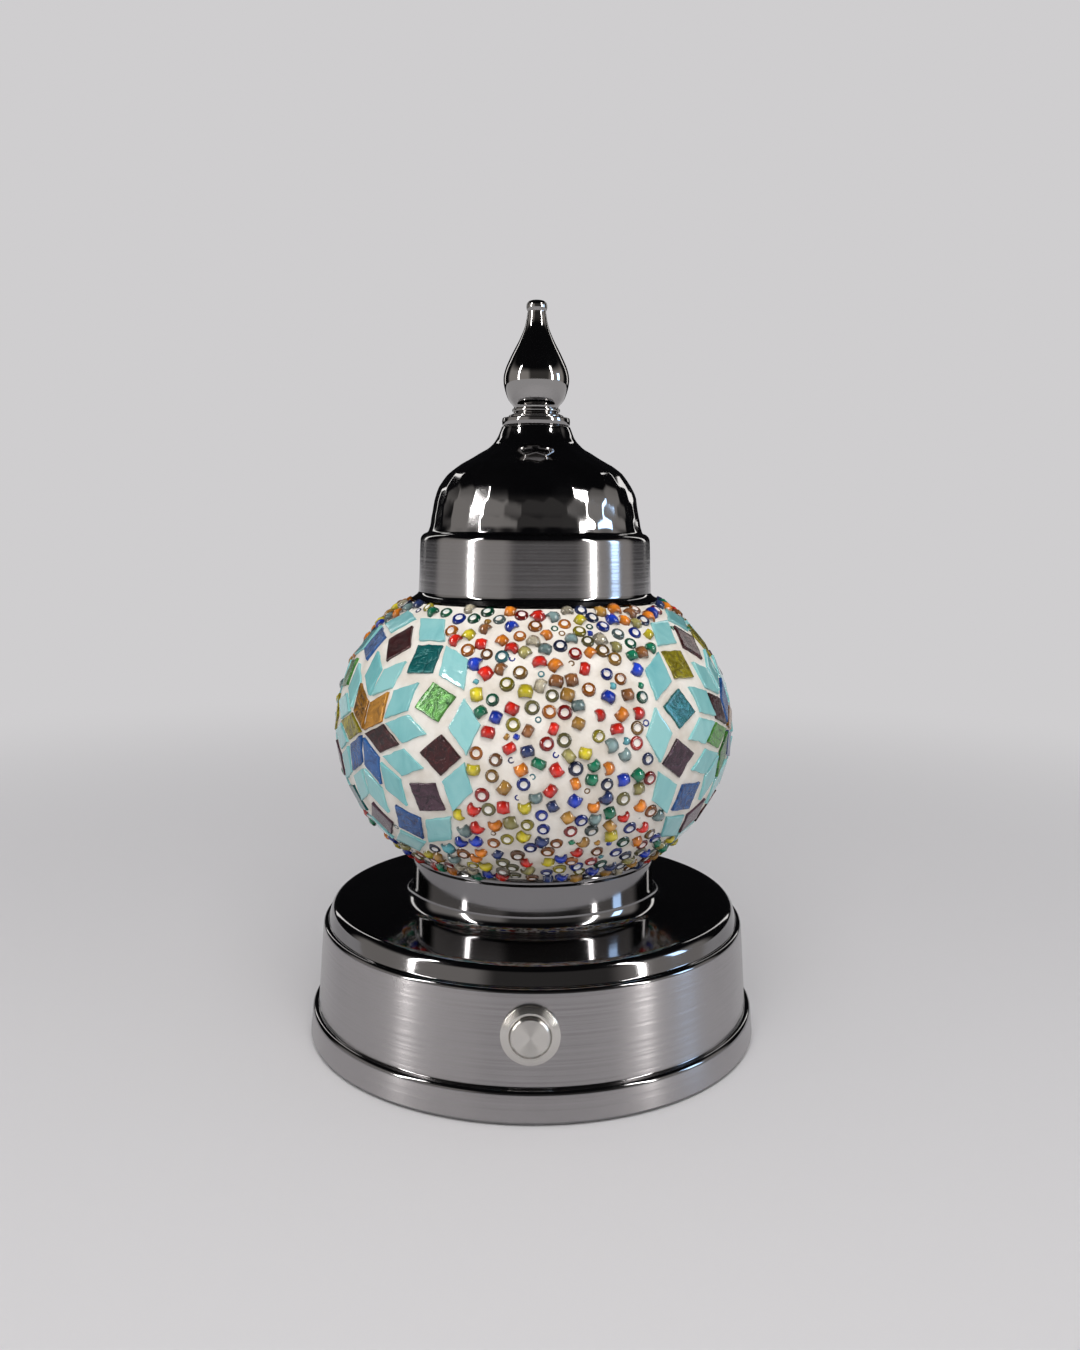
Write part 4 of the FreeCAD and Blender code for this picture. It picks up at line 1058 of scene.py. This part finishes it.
def grained(name, colour, roughness, metallic, scale, depth, streaked=(1, 1, 1)):
    """A fine grain or brushing over one colour."""
    made, nodes, links, shader = new_finish(name, colour, roughness, metallic)
    place = nodes.new("ShaderNodeTexCoord")
    stretch = nodes.new("ShaderNodeMapping")
    stretch.inputs["Scale"].default_value = streaked
    grain = nodes.new("ShaderNodeTexNoise")
    grain.inputs["Scale"].default_value = scale
    grain.inputs["Detail"].default_value = 4.0
    tone = nodes.new("ShaderNodeValToRGB")
    tone.color_ramp.elements[0].color = (*[c * 0.8 for c in colour], 1)
    tone.color_ramp.elements[1].color = (*[min(1, c * 1.15) for c in colour], 1)
    bump = nodes.new("ShaderNodeBump")
    bump.inputs["Strength"].default_value = 0.5
    bump.inputs["Distance"].default_value = depth
    links.new(place.outputs["Object"], stretch.inputs["Vector"])
    links.new(stretch.outputs[0], grain.inputs["Vector"])
    links.new(grain.outputs["Fac"], tone.inputs["Fac"])
    links.new(tone.outputs["Color"], shader.inputs["Base Color"])
    links.new(grain.outputs["Fac"], bump.inputs["Height"])
    links.new(bump.outputs[0], shader.inputs["Normal"])
    return made


zinc = grained("zinc_plate", (0.55, 0.56, 0.57), 0.3, 1.0, 900, 0.00003)
dress(zinc, "clamp_bar", "clamp_stud", "clamp_nut", "gallery_plate", "led_holder_screws", "plate_screws")
dress(zinc, "switch_lock_washer", "switch_nut", "mounting_lugs")
contact_nickel = grained("contact_nickel", (0.66, 0.65, 0.62), 0.22, 1.0, 1200, 0.00002)
dress(contact_nickel, "battery_springs", "battery_contacts")
dress(grained("spring_steel", (0.60, 0.60, 0.60), 0.25, 1.0, 1200, 0.00002), "switch_spring")
dress(grained("brass", (0.78, 0.57, 0.27), 0.25, 1.0, 900, 0.00002), "switch_terminals", "finial_insert")
dress(grained("turned_aluminium", (0.72, 0.72, 0.73), 0.3, 1.0, 700, 0.00003, (1, 1, 8)), "led_holder")
dress(grained("board_mask", (0.82, 0.82, 0.79), 0.4, 0.0, 600, 0.00002), "led_board")
dress(grained("phosphor", (0.90, 0.70, 0.12), 0.4, 0.0, 1500, 0.00002), "led_chips")
dress(grained("white_silicone", (0.74, 0.74, 0.71), 0.55, 0.0, 500, 0.00004), "globe_seat_ring", "cap_gasket")
black_plastic = grained("black_moulding", (0.022, 0.022, 0.024), 0.5, 0.0, 1800, 0.00006)
dress(black_plastic, "base_plate", "battery_door", "switch_insulator")
dress(grained("black_rubber", (0.018, 0.018, 0.018), 0.75, 0.0, 900, 0.00008), "rubber_feet", "switch_gasket")
dress(grained("cell_sleeve", (0.03, 0.05, 0.07), 0.25, 0.0, 300, 0.00002), "battery_cells")
dress(grained("red_insulation", (0.50, 0.015, 0.012), 0.35, 0.0, 700, 0.00003), "battery_lead", "switch_lead")
dress(grained("black_insulation", (0.015, 0.015, 0.016), 0.35, 0.0, 700, 0.00003), "return_lead")
diffuser = grained("frosted_diffuser", (0.86, 0.86, 0.84), 0.55, 0.0, 900, 0.00003)
diffuser.node_tree.nodes["Principled BSDF"].inputs["Transmission Weight"].default_value = 0.35
dress(diffuser, "led_diffuser")
blown = grained("blown_glass", (0.86, 0.90, 0.90), 0.06, 0.0, 60, 0.0002)
blown.node_tree.nodes["Principled BSDF"].inputs["Transmission Weight"].default_value = 0.8
dress(blown, "globe_glass")
